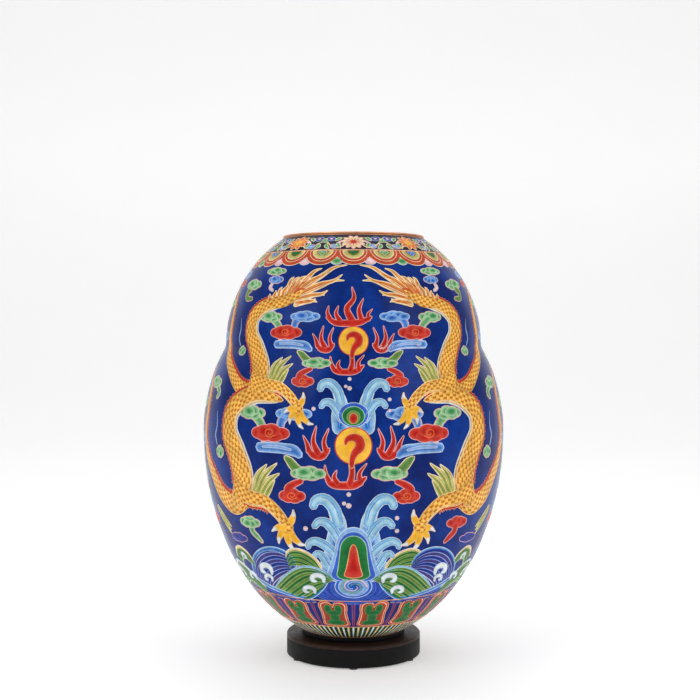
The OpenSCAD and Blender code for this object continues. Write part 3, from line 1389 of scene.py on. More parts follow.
@dataclass
class Flames:
    """The pearl and the flames about it."""

    radius: float = 38.0

    def draw(self, drawing: Drawing, sheet: Sheet, top: bool) -> None:
        """Draw the pearl and its flames.

        Args:
            drawing: The field's drawing.
            sheet: The sheet they are drawn on.
            top: Whether the flame above the pearl shows.
        """
        self.tongues(
            drawing, sheet,
            ((-60, -64, 2.5), (-50, -80, 7.5), (-20, -86, 9.5), (8, -82, 9), (26, -68, 3)),
            (((-52, -76, 6), (-59, -60, 4), (-61, -42, 0.6)),
             ((-34, -82, 7), (-41, -68, 5), (-36, -53, 0.6)),
             ((-8, -84, 9), (-3, -60, 6.5), (-5, -34, 6)),
             ((14, -80, 8), (13, -60, 4.5), (28, -38, 0.6))))
        if top:
            self.tongues(
                drawing, sheet,
                ((-70, 64, 4), (-54, 52, 8), (-16, 48, 10), (22, 52, 9), (46, 64, 4)),
                (((-62, 60, 6.5), (-69, 76, 4.5), (-66, 95, 0.6)),
                 ((-36, 54, 8), (-46, 74, 5), (-40, 95, 0.6)),
                 ((-4, 54, 12), (-17, 88, 8.5), (1, 116, 6), (-4, 150, 0.6)),
                 ((22, 54, 9), (15, 82, 6), (26, 116, 0.6)),
                 ((40, 58, 6), (39, 72, 4), (50, 86, 0.6))))
        for side in MIRRORS:
            beside = Sheet(sheet.skin, sheet.origin, sheet.scale, sheet.turn, side)
            self.tongues(
                drawing, beside,
                ((100, -4, 3), (88, -20, 8), (68, -23, 9), (53, -8, 4)),
                (((96, -12, 7), (100, 2, 4.5), (109, 20, 0.6)),
                 ((76, -18, 9), (86, 6, 5.5), (80, 41, 0.6)),
                 ((58, -14, 7), (63, 6, 4.5), (53, 36, 0.6))))
        drawing.put(sheet, oval(0, 0, self.radius, self.radius), YELLOW, RED, 1, 2.4)
        comma = Ribbon((-17, 2, 2), (-14, 12, 5), (-2, 18, 7.5), (12, 12, 9.5), (14, -2, 10),
                       (4, -14, 8), (-2, -27, 6), (-4, -44, 4.5))
        drawing.put(sheet, comma, RED, GILT, 2, 1.2)

    def tongues(
        self, drawing: Drawing, sheet: Sheet, base: Sequence[Sequence[float]],
        tips: Sequence[Sequence[Sequence[float]]],
    ) -> None:
        """Draw one flame: its curved base and the tongues that rise from it."""
        for rows in (base, *tips):
            slim = [(u, v, max(0.5, half * 0.8)) for u, v, half in rows]
            drawing.put(sheet, Ribbon(*slim), RED, PINK, 0, 1.6)


@dataclass
class Crests:
    """The rock in the middle of the waves and the crests that break against it."""

    full: bool

    curls = (
        ((32, -170, 11), (43, -135, 12), (64, -116, 11.5), (82, -120, 9.5), (87, -132, 8)),
        ((30, -212, 9), (45, -184, 10), (61, -168, 9.5), (76, -168, 8), (84, -178, 6.5)),
        ((34, -254, 9), (50, -233, 10), (68, -219, 9.5), (86, -214, 8.5), (98, -221, 7),
         (100, -230, 5)),
        ((48, -284, 8), (60, -264, 8), (70, -248, 8), (80, -244, 6.5), (86, -252, 5)),
    )
    spray = ((-10, -105, 4), (-10, -130, 5), (-20, -125, 3.5), (-105, -185, 4.5),
             (95, -160, 4), (95, -190, 4))

    def draw(self, drawing: Drawing, sheet: Sheet) -> None:
        """Draw the crests on both sides, then the rock over their feet."""
        for side in MIRRORS:
            beside = Sheet(sheet.skin, sheet.origin, sheet.scale, sheet.turn, side)
            self.draw_side(drawing, beside)
        for u, v, size in self.spray:
            drawing.put(sheet, oval(u, v, size, size), PINK, WHITE, 0, 1.0)
        self.draw_rock(drawing, sheet)

    def draw_side(self, drawing: Drawing, sheet: Sheet) -> None:
        """Draw the crests on one side, with the water that runs up into them.

        Args:
            drawing: The drawing it is added to.
            sheet: The sheet it is drawn on.
        """
        foot = -292 if self.full else -232
        trunk = ((50, foot, 30), (42, foot + 30, 25), (35, -204, 21), (33, -166, 15),
                 (43, -137, 11))
        if not self.full:
            trunk = ((34, foot, 20), *trunk[2:])
        water = Ribbon(*trunk)
        drawing.put(sheet, water, SURF, WHITE, 0, 1.8)
        for share in (-0.5, -0.1, 0.3):
            drawing.put(sheet, water.beside(share, 0, 0.8, 0.0, 0.72), PALE_BLUE, None, 1)
        for rows in self.curls[::-1]:
            if self.full or rows[0][1] > -240:
                curl = Ribbon(*rows)
                drawing.put(sheet, curl, CREST, WHITE, 1, 1.5)
                drawing.put(sheet, curl.beside(0.35, 0, 1.5, 0.0, 0.72), SURF, None, 2)

    def draw_rock(self, drawing: Drawing, sheet: Sheet) -> None:
        """Draw the rock's nested layers: bells in the waves, ovals above them.

        Args:
            drawing: The drawing it is added to.
            sheet: The sheet it is drawn on.
        """
        layers: list[tuple[Finish, Finish | None, Shape]]
        if self.full:
            layers = [
                (SKY, WHITE, self.bell(-180, 58, 0.55)),
                (ROYAL, PALE_BLUE, self.bell(-190, 48, 0.6)),
                (EMERALD, LEAF, self.bell(-200, 35, 0.75)),
                (RED, GILT, self.bell(-220, 19, 0.35)),
            ]
        else:
            layers = [
                (ROYAL, WHITE, oval(0, -200, 38, 31)), (EMERALD, LEAF, oval(0, -203, 28, 24)),
                (MOSS, None, oval(0, -206, 18, 18)), (RED, GILT, oval(0, -209, 10, 13)),
            ]
        for level, (finish, line, shape) in enumerate(layers, 2):
            drawing.put(sheet, shape, finish, line, level, 1.6)

    def bell(self, top: float, wide: float, shoulder: float, foot: float = -298.0) -> Loop:
        """Outline a layer of the rock as a bell that flares towards its foot.

        Args:
            top: Where it starts.
            wide: Its half width at the foot.
            shoulder: The shoulder's half width, as a share of the foot's.
            foot: Where it ends.

        Returns:
            The outline.
        """
        half = []
        for i in range(10):
            share = (i / 9) ** 1.5
            cap = math.sqrt(1 - (1 - min(share / 0.3, 1.0)) ** 2)
            half.append((wide * (shoulder * cap + (1 - shoulder) * share ** 1.5),
                         top + (foot - top) * share))
        left = [(-u, v) for u, v in half]
        return Loop((0.0, 0.3 * top + 0.7 * foot), *left, *half[:0:-1])



class Tier:
    """One tier of the dragon field, drawn on the front and on the back."""

    def __init__(self, name: str, skin: Skin, height: float, scale: float, full: bool) -> None:
        """Place the tier.

        Args:
            name: Its name.
            skin: The vase's outline.
            height: Height of the pearl above the floor.
            scale: How large the tier is drawn.
            full: Whether it is the lower tier, whose rock runs down into the waves.
        """
        self.drawing = Drawing(name)
        self.skin = skin
        self.origin = skin.along(height)
        self.scale = scale
        self.full = full

    def build(self) -> None:
        """Draw the tier and make its pieces."""
        for turn in (face.value for face in Face):
            middle = Sheet(self.skin, self.origin, self.scale, turn)
            for side in MIRRORS:
                self.draw_side(Sheet(self.skin, self.origin, self.scale, turn, side))
            for side in MIRRORS:
                flank = turn + math.pi / 2
                self.draw_flank(Sheet(self.skin, self.origin, self.scale, flank, side))
            Crests(self.full).draw(self.drawing, middle)
            Flames().draw(self.drawing, middle, not self.full)
        self.drawing.build()

    def draw_side(self, sheet: Sheet) -> None:
        """Draw one dragon and the clouds before it.

        Args:
            sheet: The sheet it is drawn on.
        """
        put = self.drawing.put
        o = -20 if sheet.side > 0 else 0
        put(sheet, Ribbon((o + 232, 60, 10), (o + 218, 48, 10), (o + 208, 32, 10)), LEAF, PINK)
        Cloud(o + 240, 66, 76, 32, LEAF).draw(self.drawing, sheet)
        put(sheet, Ribbon((o + 150, 62, 9), (o + 160, 50, 9), (o + 164, 34, 8)), SKY, PINK)
        Cloud(o + 132, 67, 84, 30, SKY, PALE_BLUE).draw(self.drawing, sheet)
        put(sheet, Ribbon((o + 204, 12, 5), (o + 206, -4, 5), (o + 198, -14, 4)), PINK, WHITE)
        Cloud(o + 190, 24, 98, 40, RED, PINK, 1, MARIGOLD).draw(self.drawing, sheet)
        put(sheet, Ribbon((o + 218, -9, 9), (o + 190, -8, 10), (o + 156, -9, 10),
                          (o + 126, -15, 10), (o + 118, -21, 7)), SKY, PALE_BLUE)
        put(sheet, Ribbon((o + 208, -7, 3), (o + 168, -6, 4), (o + 138, -11, 3)), PALE_BLUE,
            None, 1)
        put(sheet, Ribbon((o + 150, -28, 4), (o + 140, -36, 8), (o + 130, -47, 9),
                          (o + 118, -56, 8)), MOSS, CREAM)
        Cloud(o + 98, -60, 80, 32, LEAF).draw(self.drawing, sheet)
        hook = Ribbon((o + 114, -78, 5), (o + 132, -86, 7), (o + 146, -98, 8),
                      (o + 140, -112, 8), (o + 120, -112, 6))
        put(sheet, hook, RED, PINK, 0, 1.6)
        Cloud(o + 136, -111, 62, 34, RED, PINK, 0, MARIGOLD).draw(self.drawing, sheet)
        self.draw_loop_cloud(sheet)
        if self.full:
            self.draw_low_clouds(sheet)
        else:
            self.draw_high_clouds(sheet)
        Dragon().draw(self.drawing, sheet, not self.full)

    def draw_loop_cloud(self, sheet: Sheet) -> None:
        """Draw the cloud inside the bend of the tail, and the thread that rises from it."""
        Cloud(358, -28, 34, 30, LEAF).draw(self.drawing, sheet)
        thread = Ribbon((372, -14, 1.6), (380, 8, 1.8), (372, 30, 1.5), (374, 62, 0.5))
        self.drawing.put(sheet, thread, PALE_BLUE, None)

    def draw_high_clouds(self, sheet: Sheet) -> None:
        """Draw the small clouds beside the mane.

        Args:
            sheet: The sheet it is drawn on.
        """
        put = self.drawing.put
        Cloud(234, 204, 76, 27, LEAF).draw(self.drawing, sheet)
        Cloud(231, 176, 54, 27, SKY).draw(self.drawing, sheet)
        put(sheet, Ribbon((244, 162, 4), (250, 150, 5.5), (240, 142, 4)), PINK, WHITE, 0, 1.2)
        Cloud(330, 163, 80, 36, LEAF).draw(self.drawing, sheet)
        put(sheet, Ribbon((342, 148, 9), (358, 136, 8), (356, 122, 8), (328, 119, 5)), MOSS,
            PINK)
        Cloud(400, 200, 60, 30, SKY).draw(self.drawing, sheet)
        Cloud(412, 170, 44, 24, RED).draw(self.drawing, sheet)

    def draw_low_clouds(self, sheet: Sheet) -> None:
        """Draw the clouds below the leg and those beside the tail's tip.

        Args:
            sheet: The sheet it is drawn on.
        """
        put = self.drawing.put
        finish = LEAF if sheet.side < 0 else RED
        put(sheet, Ribbon((250, -190, 8), (246, -204, 7), (232, -216, 6), (218, -228, 3)),
            finish, PINK)
        Cloud(254, -182, 66, 30, finish).draw(self.drawing, sheet)
        Cloud(302, -227, 68, 24, INDIGO).draw(self.drawing, sheet)
        for k in range(3):
            put(sheet, Ribbon((396 - 6 * k, -164 - 8 * k, 5), (364 - 4 * k, -184 - 9 * k, 5),
                              (330 + 3 * k, -204 - 9 * k, 0.6)), OLIVE, CREAM, 0, 1.2)
        Cloud(400, 128, 62, 30, LEAF).draw(self.drawing, sheet)
        put(sheet, Ribbon((388, 118, 7), (374, 104, 7), (384, 92, 4)), LEAF, PINK)
        Cloud(440, -196, 66, 28, RED).draw(self.drawing, sheet)

    def draw_flank(self, sheet: Sheet) -> None:
        """Draw half of the column of linked clouds between the front and the back.

        Args:
            sheet: The sheet it is drawn on.
        """
        put = self.drawing.put
        groups = ((34, 1.0), (-118, 0.9)) if self.full else ((60, 1.1), (-92, 0.9))
        for v, size in groups:
            put(sheet, Ribbon((20, v + 12, 8), (34, v + 26, 8), (46, v + 42, 8)), LEAF, PINK)
            Cloud(54 * size, v + 46 * size, 78 * size, 32, LEAF).draw(self.drawing, sheet)
            put(sheet, Ribbon((24, v - 14, 7), (34, v - 26, 7), (44, v - 36, 6)), SKY,
                PALE_BLUE)
            Cloud(56 * size, v - 42 * size, 84 * size, 30, SKY, PALE_BLUE).draw(
                self.drawing, sheet)
            put(sheet, Ribbon((0, v - 16, 5), (4, v - 40, 6), (0, v - 62, 3)), PINK, WHITE)
            if sheet.side > 0:
                Cloud(0, v, 110 * size, 44, RED, PINK, 1, MARIGOLD).draw(self.drawing, sheet)
        top = 150 if self.full else 182
        for u, lean, rise in ((0, 0, 46), (16, 6, 30), (31, 14, 22)):
            tongue = Ribbon((u, top - 16, 6.5), (u + lean - 6, top + rise * 0.4, 4),
                            (u + lean, top + rise - 8, 0.5))
            put(sheet, tongue, RED, PINK, 0, 1.6)
        put(sheet, Ribbon((0, top - 18, 7), (20, top - 16, 6), (36, top - 6, 3)), RED, PINK, 0,
            1.6)


class WaveField:
    """Rolling waves about the medallion, on the front and on the back."""

    def __init__(self, skin: Skin, height: float) -> None:
        """Place the field.

        Args:
            skin: The vase's outline.
            height: Height of the lower tier's pearl, which its sheet is measured from.
        """
        self.drawing = Drawing("waves")
        self.skin = skin
        self.origin = skin.along(height)

    def build(self) -> None:
        """Draw the waves and make their pieces."""
        for turn in (face.value for face in Face):
            for side in MIRRORS:
                self.draw_side(Sheet(self.skin, self.origin, 1.0, turn, side))
            self.draw_medallion(Sheet(self.skin, self.origin, 1.0, turn))
            for side in MIRRORS:
                self.draw_flank(Sheet(self.skin, self.origin, 1.0, turn + math.pi / 2, side))
        self.drawing.build()

    def roll(
        self, sheet: Sheet, upper: Sequence[Point], lower: Sequence[Point],
        stripes: Sequence[Finish], level: int,
    ) -> None:
        """Draw a wave: a pale cell with coloured stripes that follow its back.

        Args:
            sheet: The sheet it is drawn on.
            upper: The path of its back.
            lower: The path of its hollow.
            stripes: The finishes of its stripes from the back down.
            level: Its level.
        """
        base = PALE_BLUE if INDIGO in stripes else OLIVE
        self.drawing.put(sheet, Band(upper, lower), base, GILT, level, 0.8)
        count = len(stripes)
        for k, finish in enumerate(stripes):
            stripe = Band(upper, lower, k / count, (k + 0.84) / count)
            self.drawing.put(sheet, stripe, finish, None, level + 1)

    def foam(self, sheet: Sheet, path: Sequence[Point], half: float, finish: Finish,
             level: int) -> None:
        """Draw a band of foam along a wave's edge."""
        rows = [(*point, half) for point in path]
        rows[0], rows[-1] = (*path[0], half * 0.3), (*path[-1], half * 0.3)
        self.drawing.put(sheet, Ribbon(*rows), finish, WHITE, level, 1.0)

    def curl(self, sheet: Sheet, u: float, v: float, size: float) -> None:
        """Draw a white curl of foam.

        Args:
            sheet: The sheet it is drawn on.
            u: Its middle, along the sheet.
            v: Its middle, up the sheet.
            size: Its size, as a share of the largest.
        """
        rows = [(u + size * du, v + size * dv, size * half) for du, dv, half in
                ((-15, -10, 2.5), (-13, 3, 5), (-2, 9, 6), (11, 4, 5.5), (11, -7, 4.5),
                 (3, -9, 2.5))]
        self.drawing.put(sheet, Ribbon(*rows), WHITE, PALE_BLUE, 3, 0.8)

    def draw_side(self, sheet: Sheet) -> None:
        """Draw one side's waves, the furthest first.

        Args:
            sheet: The sheet it is drawn on.
        """
        green = (MOSS, EMERALD, MOSS, EMERALD, MOSS, EMERALD, MOSS)
        blue = (INDIGO, PLUM, INDIGO, PLUM, INDIGO, PLUM, INDIGO, PLUM)
        surf = (SKY, ROYAL, INDIGO, PLUM)
        hump = arch((70, -290), (155, -260), 35)
        self.roll(sheet, hump, arch((90, -300), (145, -290), 15), green, 0)
        self.foam(sheet, hump, 2.6, CREAM, 1)
        back = arch((130, -285), (260, -320), 58, 12)
        self.roll(sheet, back, arch((135, -297), (200, -350), 10), blue, 0)
        self.foam(sheet, back, 5.2, SURF, 1)
        swell = arch((95, -372), (270, -328), -10, steep=0.3)
        self.roll(sheet, swell, arch((85, -385), (275, -362), -13, steep=0.3), surf, 0)
        front = arch((40, -310), (190, -350), 46, steep=0.0)
        hollow = arch((58, -322), (108, -378), -8, steep=0.0)
        self.roll(sheet, front, hollow, (*green, EMERALD, MOSS, EMERALD), 1)
        self.foam(sheet, front, 4.6, CREST, 2)
        self.foam(sheet, hollow, 3.0, SURF, 2)
        self.foam(sheet, swell, 4.4, SURF, 2)
        for u, v, size in ((80, -310, 1.0), (100, -345, 0.9), (215, -300, 1.2),
                           (210, -325, 0.8), (270, -330, 0.9)):
            self.curl(sheet, u, v, size)

    def draw_flank(self, sheet: Sheet) -> None:
        """Draw half of the waves between the front's and the back's.

        Args:
            sheet: The sheet it is drawn on.
        """
        green = (MOSS, EMERALD, MOSS, EMERALD, LEAF)
        blue = (PLUM, INDIGO, PLUM, INDIGO, PLUM)
        crown = ((0, -252), (34, -256), (66, -272), (88, -298), (98, -330))
        self.roll(sheet, crown, ((0, -292), (22, -296), (42, -308), (56, -328), (62, -346)),
                  blue, 0)
        self.foam(sheet, crown, 4.0, SURF, 1)
        small = ((212, -288), (206, -266), (186, -254), (156, -262), (136, -284))
        self.roll(sheet, small, ((204, -302), (190, -288), (176, -284), (164, -290),
                                 (154, -304)), green, 0)
        self.foam(sheet, small, 2.6, CREAM, 1)
        swell = ((0, -340), (40, -346), (84, -372), (112, -386))
        self.roll(sheet, swell, ((0, -380), (26, -383), (50, -388), (70, -392)), blue, 1)
        self.foam(sheet, swell, 3.4, SURF, 2)
        front = ((66, -352), (84, -318), (114, -300), (146, -306), (172, -330), (184, -358))
        self.roll(sheet, front, ((84, -378), (98, -364), (116, -356), (134, -358),
                                 (152, -368), (166, -382)), green, 1)
        self.foam(sheet, front, 4.2, WHITE, 2)
        for u, v, size in ((104, -330, 1.0), (40, -300, 0.9), (180, -276, 0.6)):
            self.curl(sheet, u, v, size)

    def draw_medallion(self, sheet: Sheet) -> None:
        """Draw the round medallion with its coiled lines, and the ripples about it.

        Args:
            sheet: The sheet it is drawn on.
        """
        for k in range(6):
            reach = 96 - 9 * k
            ripple = oval(0, -334, reach, min(0.86 * reach, 52 - 2 * k))
            self.drawing.put(sheet, ripple, (INDIGO, ROYAL)[k % 2], SKY, 0, 0.8)
        self.drawing.put(sheet, oval(0, -331, 40, 33), ROYAL, WHITE, 2, 1.6)
        self.drawing.put(sheet, oval(0, -331, 33, 27), SKY, PALE_BLUE, 3, 0.9)
        for k in range(3):
            rows = []
            for i in range(11):
                turn = math.radians(120 * k + 38 * i)
                reach = 30 * (1 - i / 13)
                rows.append((reach * math.cos(turn), -331 + 0.82 * reach * math.sin(turn),
                             1.6 - 0.08 * i))
            finish = (PINK, LEAF, PALE_BLUE)[k]
            self.drawing.put(sheet, Ribbon(*rows), finish, None, 4)


@dataclass
class FootBands:
    """The upright petals and the fringe above the vase's lower edge."""

    skin: Skin
    petals: int = 16
    threads: int = 96

    def build(self) -> None:
        """Draw both bands and make their pieces."""
        self.draw_petals()
        self.draw_fringe()

    def draw_petals(self) -> None:
        """Draw the petals, each with a lobed leaf in it."""
        drawing = Drawing("petals")
        foot = self.skin.along(low("enamel_panel_field"))
        top = self.skin.along(high("enamel_panel_field"))
        tall = top - foot
        for i in range(self.petals):
            sheet = Sheet(self.skin, foot, 1.0, FULL_TURN * (i + 0.5) / self.petals)
            for level, (inset, finish, line) in enumerate((
                (1.5, RED, GILT), (5.0, CREAM, None), (6.6, DEEP_RED, None),
            )):
                drawing.put(sheet, self.petal(tall, inset), finish, line, level, 1.4)
            for u, v, wide, high_ in ((-12, 0.73, 8, 14), (12, 0.73, 8, 14), (0, 0.58, 17, 9),
                                      (0, 0.4, 11, 15), (0, 0.2, 20, 11)):
                drawing.put(sheet, oval(u, v * tall, wide, high_), EMERALD, MOSS, 3, 0.8)
            between = Sheet(self.skin, foot, 1.0, FULL_TURN * i / self.petals)
            stem = Ribbon((0, 4, 1.4), (0, tall * 0.6, 1.8), (0, tall - 5, 3))
            drawing.put(between, stem, PLUM, DEEP_RED, 0, 1.6)
        drawing.build()

    def petal(self, tall: float, inset: float) -> Loop:
        """Outline an upright petal, whose top has two lobes.

        Args:
            tall: The band's height.
            inset: How far the outline is drawn in.

        Returns:
            The outline.
        """
        dip = 88 - inset
        half = ((0, 1), (20, 1), (29, 5), (30, 30), (30, 60), (33, 78), (32, 92), (21, 99),
                (8, 96), (0, dip))
        scaled = [(u * (1 - inset / 33), inset + v / 100 * (tall - 2 * inset)) for u, v in half]
        return Loop((0, tall / 2), *scaled, *[(-u, v) for u, v in scaled[-2:0:-1]])

    def draw_fringe(self) -> None:
        """Draw the fringe's threads."""
        drawing = Drawing("fringe")
        top = self.skin.along(high("enamel_fringe_field"))
        for i in range(self.threads):
            sheet = Sheet(self.skin, 0.0, 1.0, FULL_TURN * i / self.threads)
            finish = (WHITE, CREAM)[i % 2]
            thread = Ribbon((0, 2.5, 1.3), (0, top / 2, 1.7), (0, top - 2, 2.2), cells=4)
            drawing.put(sheet, thread, finish, None)
        drawing.build()


@dataclass
class Shoulder:
    """The flower scroll below the mouth and the cloud collar below it."""

    skin: Skin
    flowers: int = 9
    lappets: int = 20

    def build(self) -> None:
        """Draw both bands and make their pieces."""
        self.draw_scroll()
        self.draw_collar()

    def draw_scroll(self) -> None:
        """Draw daisies and marigolds among buds, leaves and winding stems."""
        drawing = Drawing("scroll")
        foot = self.skin.along(high("enamel_collar_field"))
        pitch = FULL_TURN / self.flowers
        for i in range(self.flowers):
            sheet = Sheet(self.skin, foot, 1.0, pitch * i)
            for side in MIRRORS:
                beside = Sheet(self.skin, foot, 1.0, pitch * i, side)
                self.draw_stems(drawing, beside)
            if i in (0, 2, 4, 5, 7):
                self.draw_flower(drawing, sheet, DAISY, PINK, RED, 11)
            else:
                self.draw_flower(drawing, sheet, MARIGOLD, CREAM, YELLOW, 9)
        drawing.build()

    def draw_stems(self, drawing: Drawing, sheet: Sheet) -> None:
        """Draw what lies on one side of a flower, up to half way to the next.

        Args:
            drawing: The drawing it is added to.
            sheet: The sheet it is drawn on.
        """
        stem = Ribbon((22, 16, 1.4), (36, 9, 1.6), (50, 16, 1.6), (60, 30, 1.6), (66, 44, 1.2))
        drawing.put(sheet, stem, CREAM, None)
        drawing.put(sheet, oval(44, 14, 9, 7.5), SKY, PINK, 0, 1.2)
        drawing.put(sheet, oval(44, 14, 4, 3.2), PALE_BLUE, None, 1)
        drawing.put(sheet, oval(50, 42, 9.5, 7.5), INDIGO, PALE_BLUE, 0, 1.2)
        drawing.put(sheet, oval(50, 42, 4, 3), PINK, None, 1)
        for rows in (
            ((26, 46, 1.0), (33, 42, 4.5), (40, 34, 0.6)), ((30, 8, 0.8), (34, 20, 4.2),
            (32, 30, 0.6)), ((56, 6, 0.8), (62, 14, 4.6), (60, 24, 0.6)),
            ((58, 28, 0.8), (66, 34, 4.0), (68, 44, 0.6)),
        ):
            drawing.put(sheet, Ribbon(*rows), LEAF, CREAM, 0, 1.0)
        drawing.put(sheet, Ribbon((22, 34, 1.0), (30, 30, 3.4), (38, 25, 0.8)), PINK, None)

    def draw_flower(
        self, drawing: Drawing, sheet: Sheet, petal: Finish, line: Finish, heart: Finish,
        count: int,
    ) -> None:
        """Draw an open flower.

        Args:
            drawing: The band's drawing.
            sheet: The sheet, with the flower on its middle.
            petal: The petals' finish.
            line: The line round them.
            heart: The middle's finish.
            count: How many petals it has.
        """
        for i in range(count):
            turn = FULL_TURN * (i + 0.25) / count
            c, s = math.cos(turn), math.sin(turn) * 0.86
            rows = [(reach * c, 30 + reach * s, half) for reach, half in
                    ((6, 2.0), (15, 5.0), (22, 4.6), (26, 2.6))]
            drawing.put(sheet, Ribbon(*rows), petal, line, 0, 1.2)
            drawing.put(sheet, Ribbon((9 * c, 30 + 9 * s, 1.0), (17 * c, 30 + 17 * s, 0.6)),
                        heart, None, 1)
        drawing.put(sheet, oval(0, 30, 8, 7), heart, GILT, 1, 1.2)

    def draw_collar(self) -> None:
        """Draw the lappets that hang from the shoulder line, and the drops between them."""
        drawing = Drawing("collar")
        top = self.skin.along(high("enamel_collar_field"))
        pitch = FULL_TURN / self.lappets
        for i in range(self.lappets):
            drop = Sheet(self.skin, top, 1.0, pitch * (i + 0.5))
            drawing.put(drop, oval(0, -33, 13, 10), (PINK, LEAF)[i % 3 == 1], WHITE, 0, 1.4)
            sheet = Sheet(self.skin, top, 1.0, pitch * i)
            cells = (
                (1.0, CORAL, CREAM, 0), (0.79, CREAM, None, 1), (0.755, CORAL, None, 2),
                (0.58, OLIVE, CREAM, 3), (0.36, DEEP_RED, None, 4),
            )
            for share, finish, line, level in cells:
                drawing.put(sheet, self.lappet(share), finish, line, level, 1.6)
            heart = (EMERALD, LEAF, SKY)[i % 3]
            for side in MIRRORS:
                drawing.put(sheet, oval(5 * side, -7, 6, 5), heart, None, 5)
            drawing.put(sheet, oval(0, -11, 5, 6), heart, None, 5)
        drawing.build()

    def lappet(self, share: float) -> Loop:
        """Outline a hanging lappet.

        Args:
            share: Its size, as a share of the whole.

        Returns:
            The outline.
        """
        half = ((0, -43), (16, -40), (30, -29), (38, -13), (38, -2), (20, -1))
        right = [(u * share, -1 + (v + 1) * share) for u, v in half]
        return Loop((0, -16 * share), *right, *[(-u, v) for u, v in right[:0:-1]])


# ---------------------------------------------------------------- the vase's other pieces


@dataclass
class Body:
    """The enamel grounds, gilt dividing wires, linings and metal rings of the vase.

    Attributes:
        skin: The vase's outline.
        copper: Depth of the copper's inner face.
        lining: Depth of the lining's inner face.
        lap: Depth of the lap bands' inner face.
        land: Width of the rim's flat land.
        bead: Radius of the rim's bead.
    """

    skin: Skin
    copper: float = -3.5
    lining: float = -4.6
    lap: float = -5.5
    land: float = 7.0
    bead: float = 2.4

    def layer(self, start: float, end: float, outer: float, inner: float,
              pitch: float = 6.0) -> list[Point]:
        """Return the profile of one layer of the wall.

        Args:
            start: Where it starts along the outline.
            end: Where it ends.
            outer: Its outer face's lift.
            inner: Its inner face's lift.
            pitch: Length of a step.

        Returns:
            The closed profile.
        """
        count = max(2, int((end - start) / pitch) + 1)
        way = np.linspace(start, end, count)
        if start < self.skin.along(self.skin.waist) < end:
            way = np.sort(np.append(way, self.skin.along(self.skin.waist)))
        out = self.skin.at(way, np.full_like(way, outer))
        back = self.skin.at(way[::-1], np.full_like(way, inner))
        return [*zip(*(row.tolist() for row in out)), *zip(*(row.tolist() for row in back))]

    def build(self) -> None:
        """Make the pieces."""
        skin = self.skin
        half = skin.wire / 2
        edges = {
            "scroll": (high("enamel_collar_field") + skin.wire, high("enamel_scroll_field")),
            "collar": (widest("enamel_collar_field")[1], high("enamel_collar_field")),
            "upper": (skin.waist, widest("enamel_collar_field")[1]),
            "lower": (widest("enamel_wave_field")[1], skin.waist),
            "wave": (low("enamel_wave_field"), widest("enamel_wave_field")[1]),
            "panel": (low("enamel_panel_field"), low("enamel_wave_field") - skin.wire),
            "fringe": (skin.bottom, low("enamel_panel_field") - skin.wire),
        }
        grounds = {"scroll": NAVY, "collar": COBALT, "upper": COBALT, "lower": COBALT,
                   "wave": WAVE_BLUE, "panel": BASE_BLUE, "fringe": FRINGE_GREEN}
        for name, (foot, top) in edges.items():
            profile = self.layer(skin.along(foot), skin.along(top), GROUND_LIFT, INNER_LIFT)
            turned(f"{name}_ground", profile, grounds[name], "vase", f"enamel_{name}_field",
                   steps=224)
        wires = {"mouth": skin.mouth - half, "shoulder": edges["scroll"][0] - half,
                 "panel": edges["panel"][1] + half, "fringe": edges["fringe"][1] + half}
        for name, height in wires.items():
            turned(f"{name}_wire", self.wire(skin.along(height)), ROSE_GILT, "vase",
                   f"wire_{name}", steps=224)
        self.build_inside()
        self.build_rings()

    def wire(self, s: float) -> list[Point]:
        """Return the profile of a half-round wire at a length along the outline."""
        half = self.skin.wire / 2
        turns = np.radians(np.linspace(0, 180, 9))
        way = np.concatenate([[s + half], s + half * np.cos(turns), [s - half]])
        lift = np.concatenate([[INNER_LIFT], GROUND_LIFT + 1.25 * np.sin(turns), [INNER_LIFT]])
        r, z = self.skin.at(way, lift)
        return list(zip(r.tolist(), z.tolist()))

    def build_inside(self) -> None:
        """Make the linings and the bare lap bands over the seams."""
        skin = self.skin
        bands = {name: (low(f"{name}_lap_band"), high(f"{name}_lap_band"))
                 for name in ("waist", "bowl")}
        spans = {"dome": (bands["waist"][1], skin.mouth),
                 "belly": (bands["bowl"][1], bands["waist"][0]),
                 "bowl": (high("base_disc"), bands["bowl"][0])}
        for name, (foot, top) in spans.items():
            profile = self.layer(skin.along(foot), skin.along(top), self.copper, self.lining,
                                 10)
            turned(f"{name}_lining", profile, LINING, "vase", f"lining_{name}")
        for name, (foot, top) in bands.items():
            profile = self.layer(skin.along(foot), skin.along(top), self.copper, self.lap, 10)
            turned(f"{name}_band", profile, COPPER, "vase", f"{name}_lap_band")
        outer = widest("lining_base")
        floor = [(0, low("lining_base")), (outer[0], low("lining_base")),
                 (outer[0], high("lining_base")), (0, high("lining_base"))]
        turned("base_lining", floor, LINING, "vase", "lining_base")

    def build_rings(self) -> None:
        """Make the rim ring with its round bead, and the foot ring."""
        mouth_r = float(self.skin.radius(np.array([self.skin.mouth]))[0])
        middle = (mouth_r - self.bead * 0.5, self.skin.mouth + self.bead)
        turns = np.radians(np.linspace(-90, 134, 15))
        bead = [(middle[0] + self.bead * math.cos(t), middle[1] + self.bead * math.sin(t))
                for t in turns]
        land = middle[0] - self.land
        top = middle[1] + self.bead * 0.7
        foot = low("rim_ring")
        inside = eased([(land, top), (land, foot), (land + 3, foot),
                        (land + 3, self.skin.mouth)], 0.9)
        turned("rim", [*bead, *inside], ROSE_GILT, "vase", "rim_ring", steps=224)
        ring_r = widest("foot_ring")[0]
        ring = [(ring_r, low("foot_ring")), (ring_r, high("foot_ring")),
                (ring_r - 7, high("foot_ring")), (ring_r - 7, low("foot_ring"))]
        turned("foot", eased(ring, 1.0), BRASS, "vase", "foot_ring")


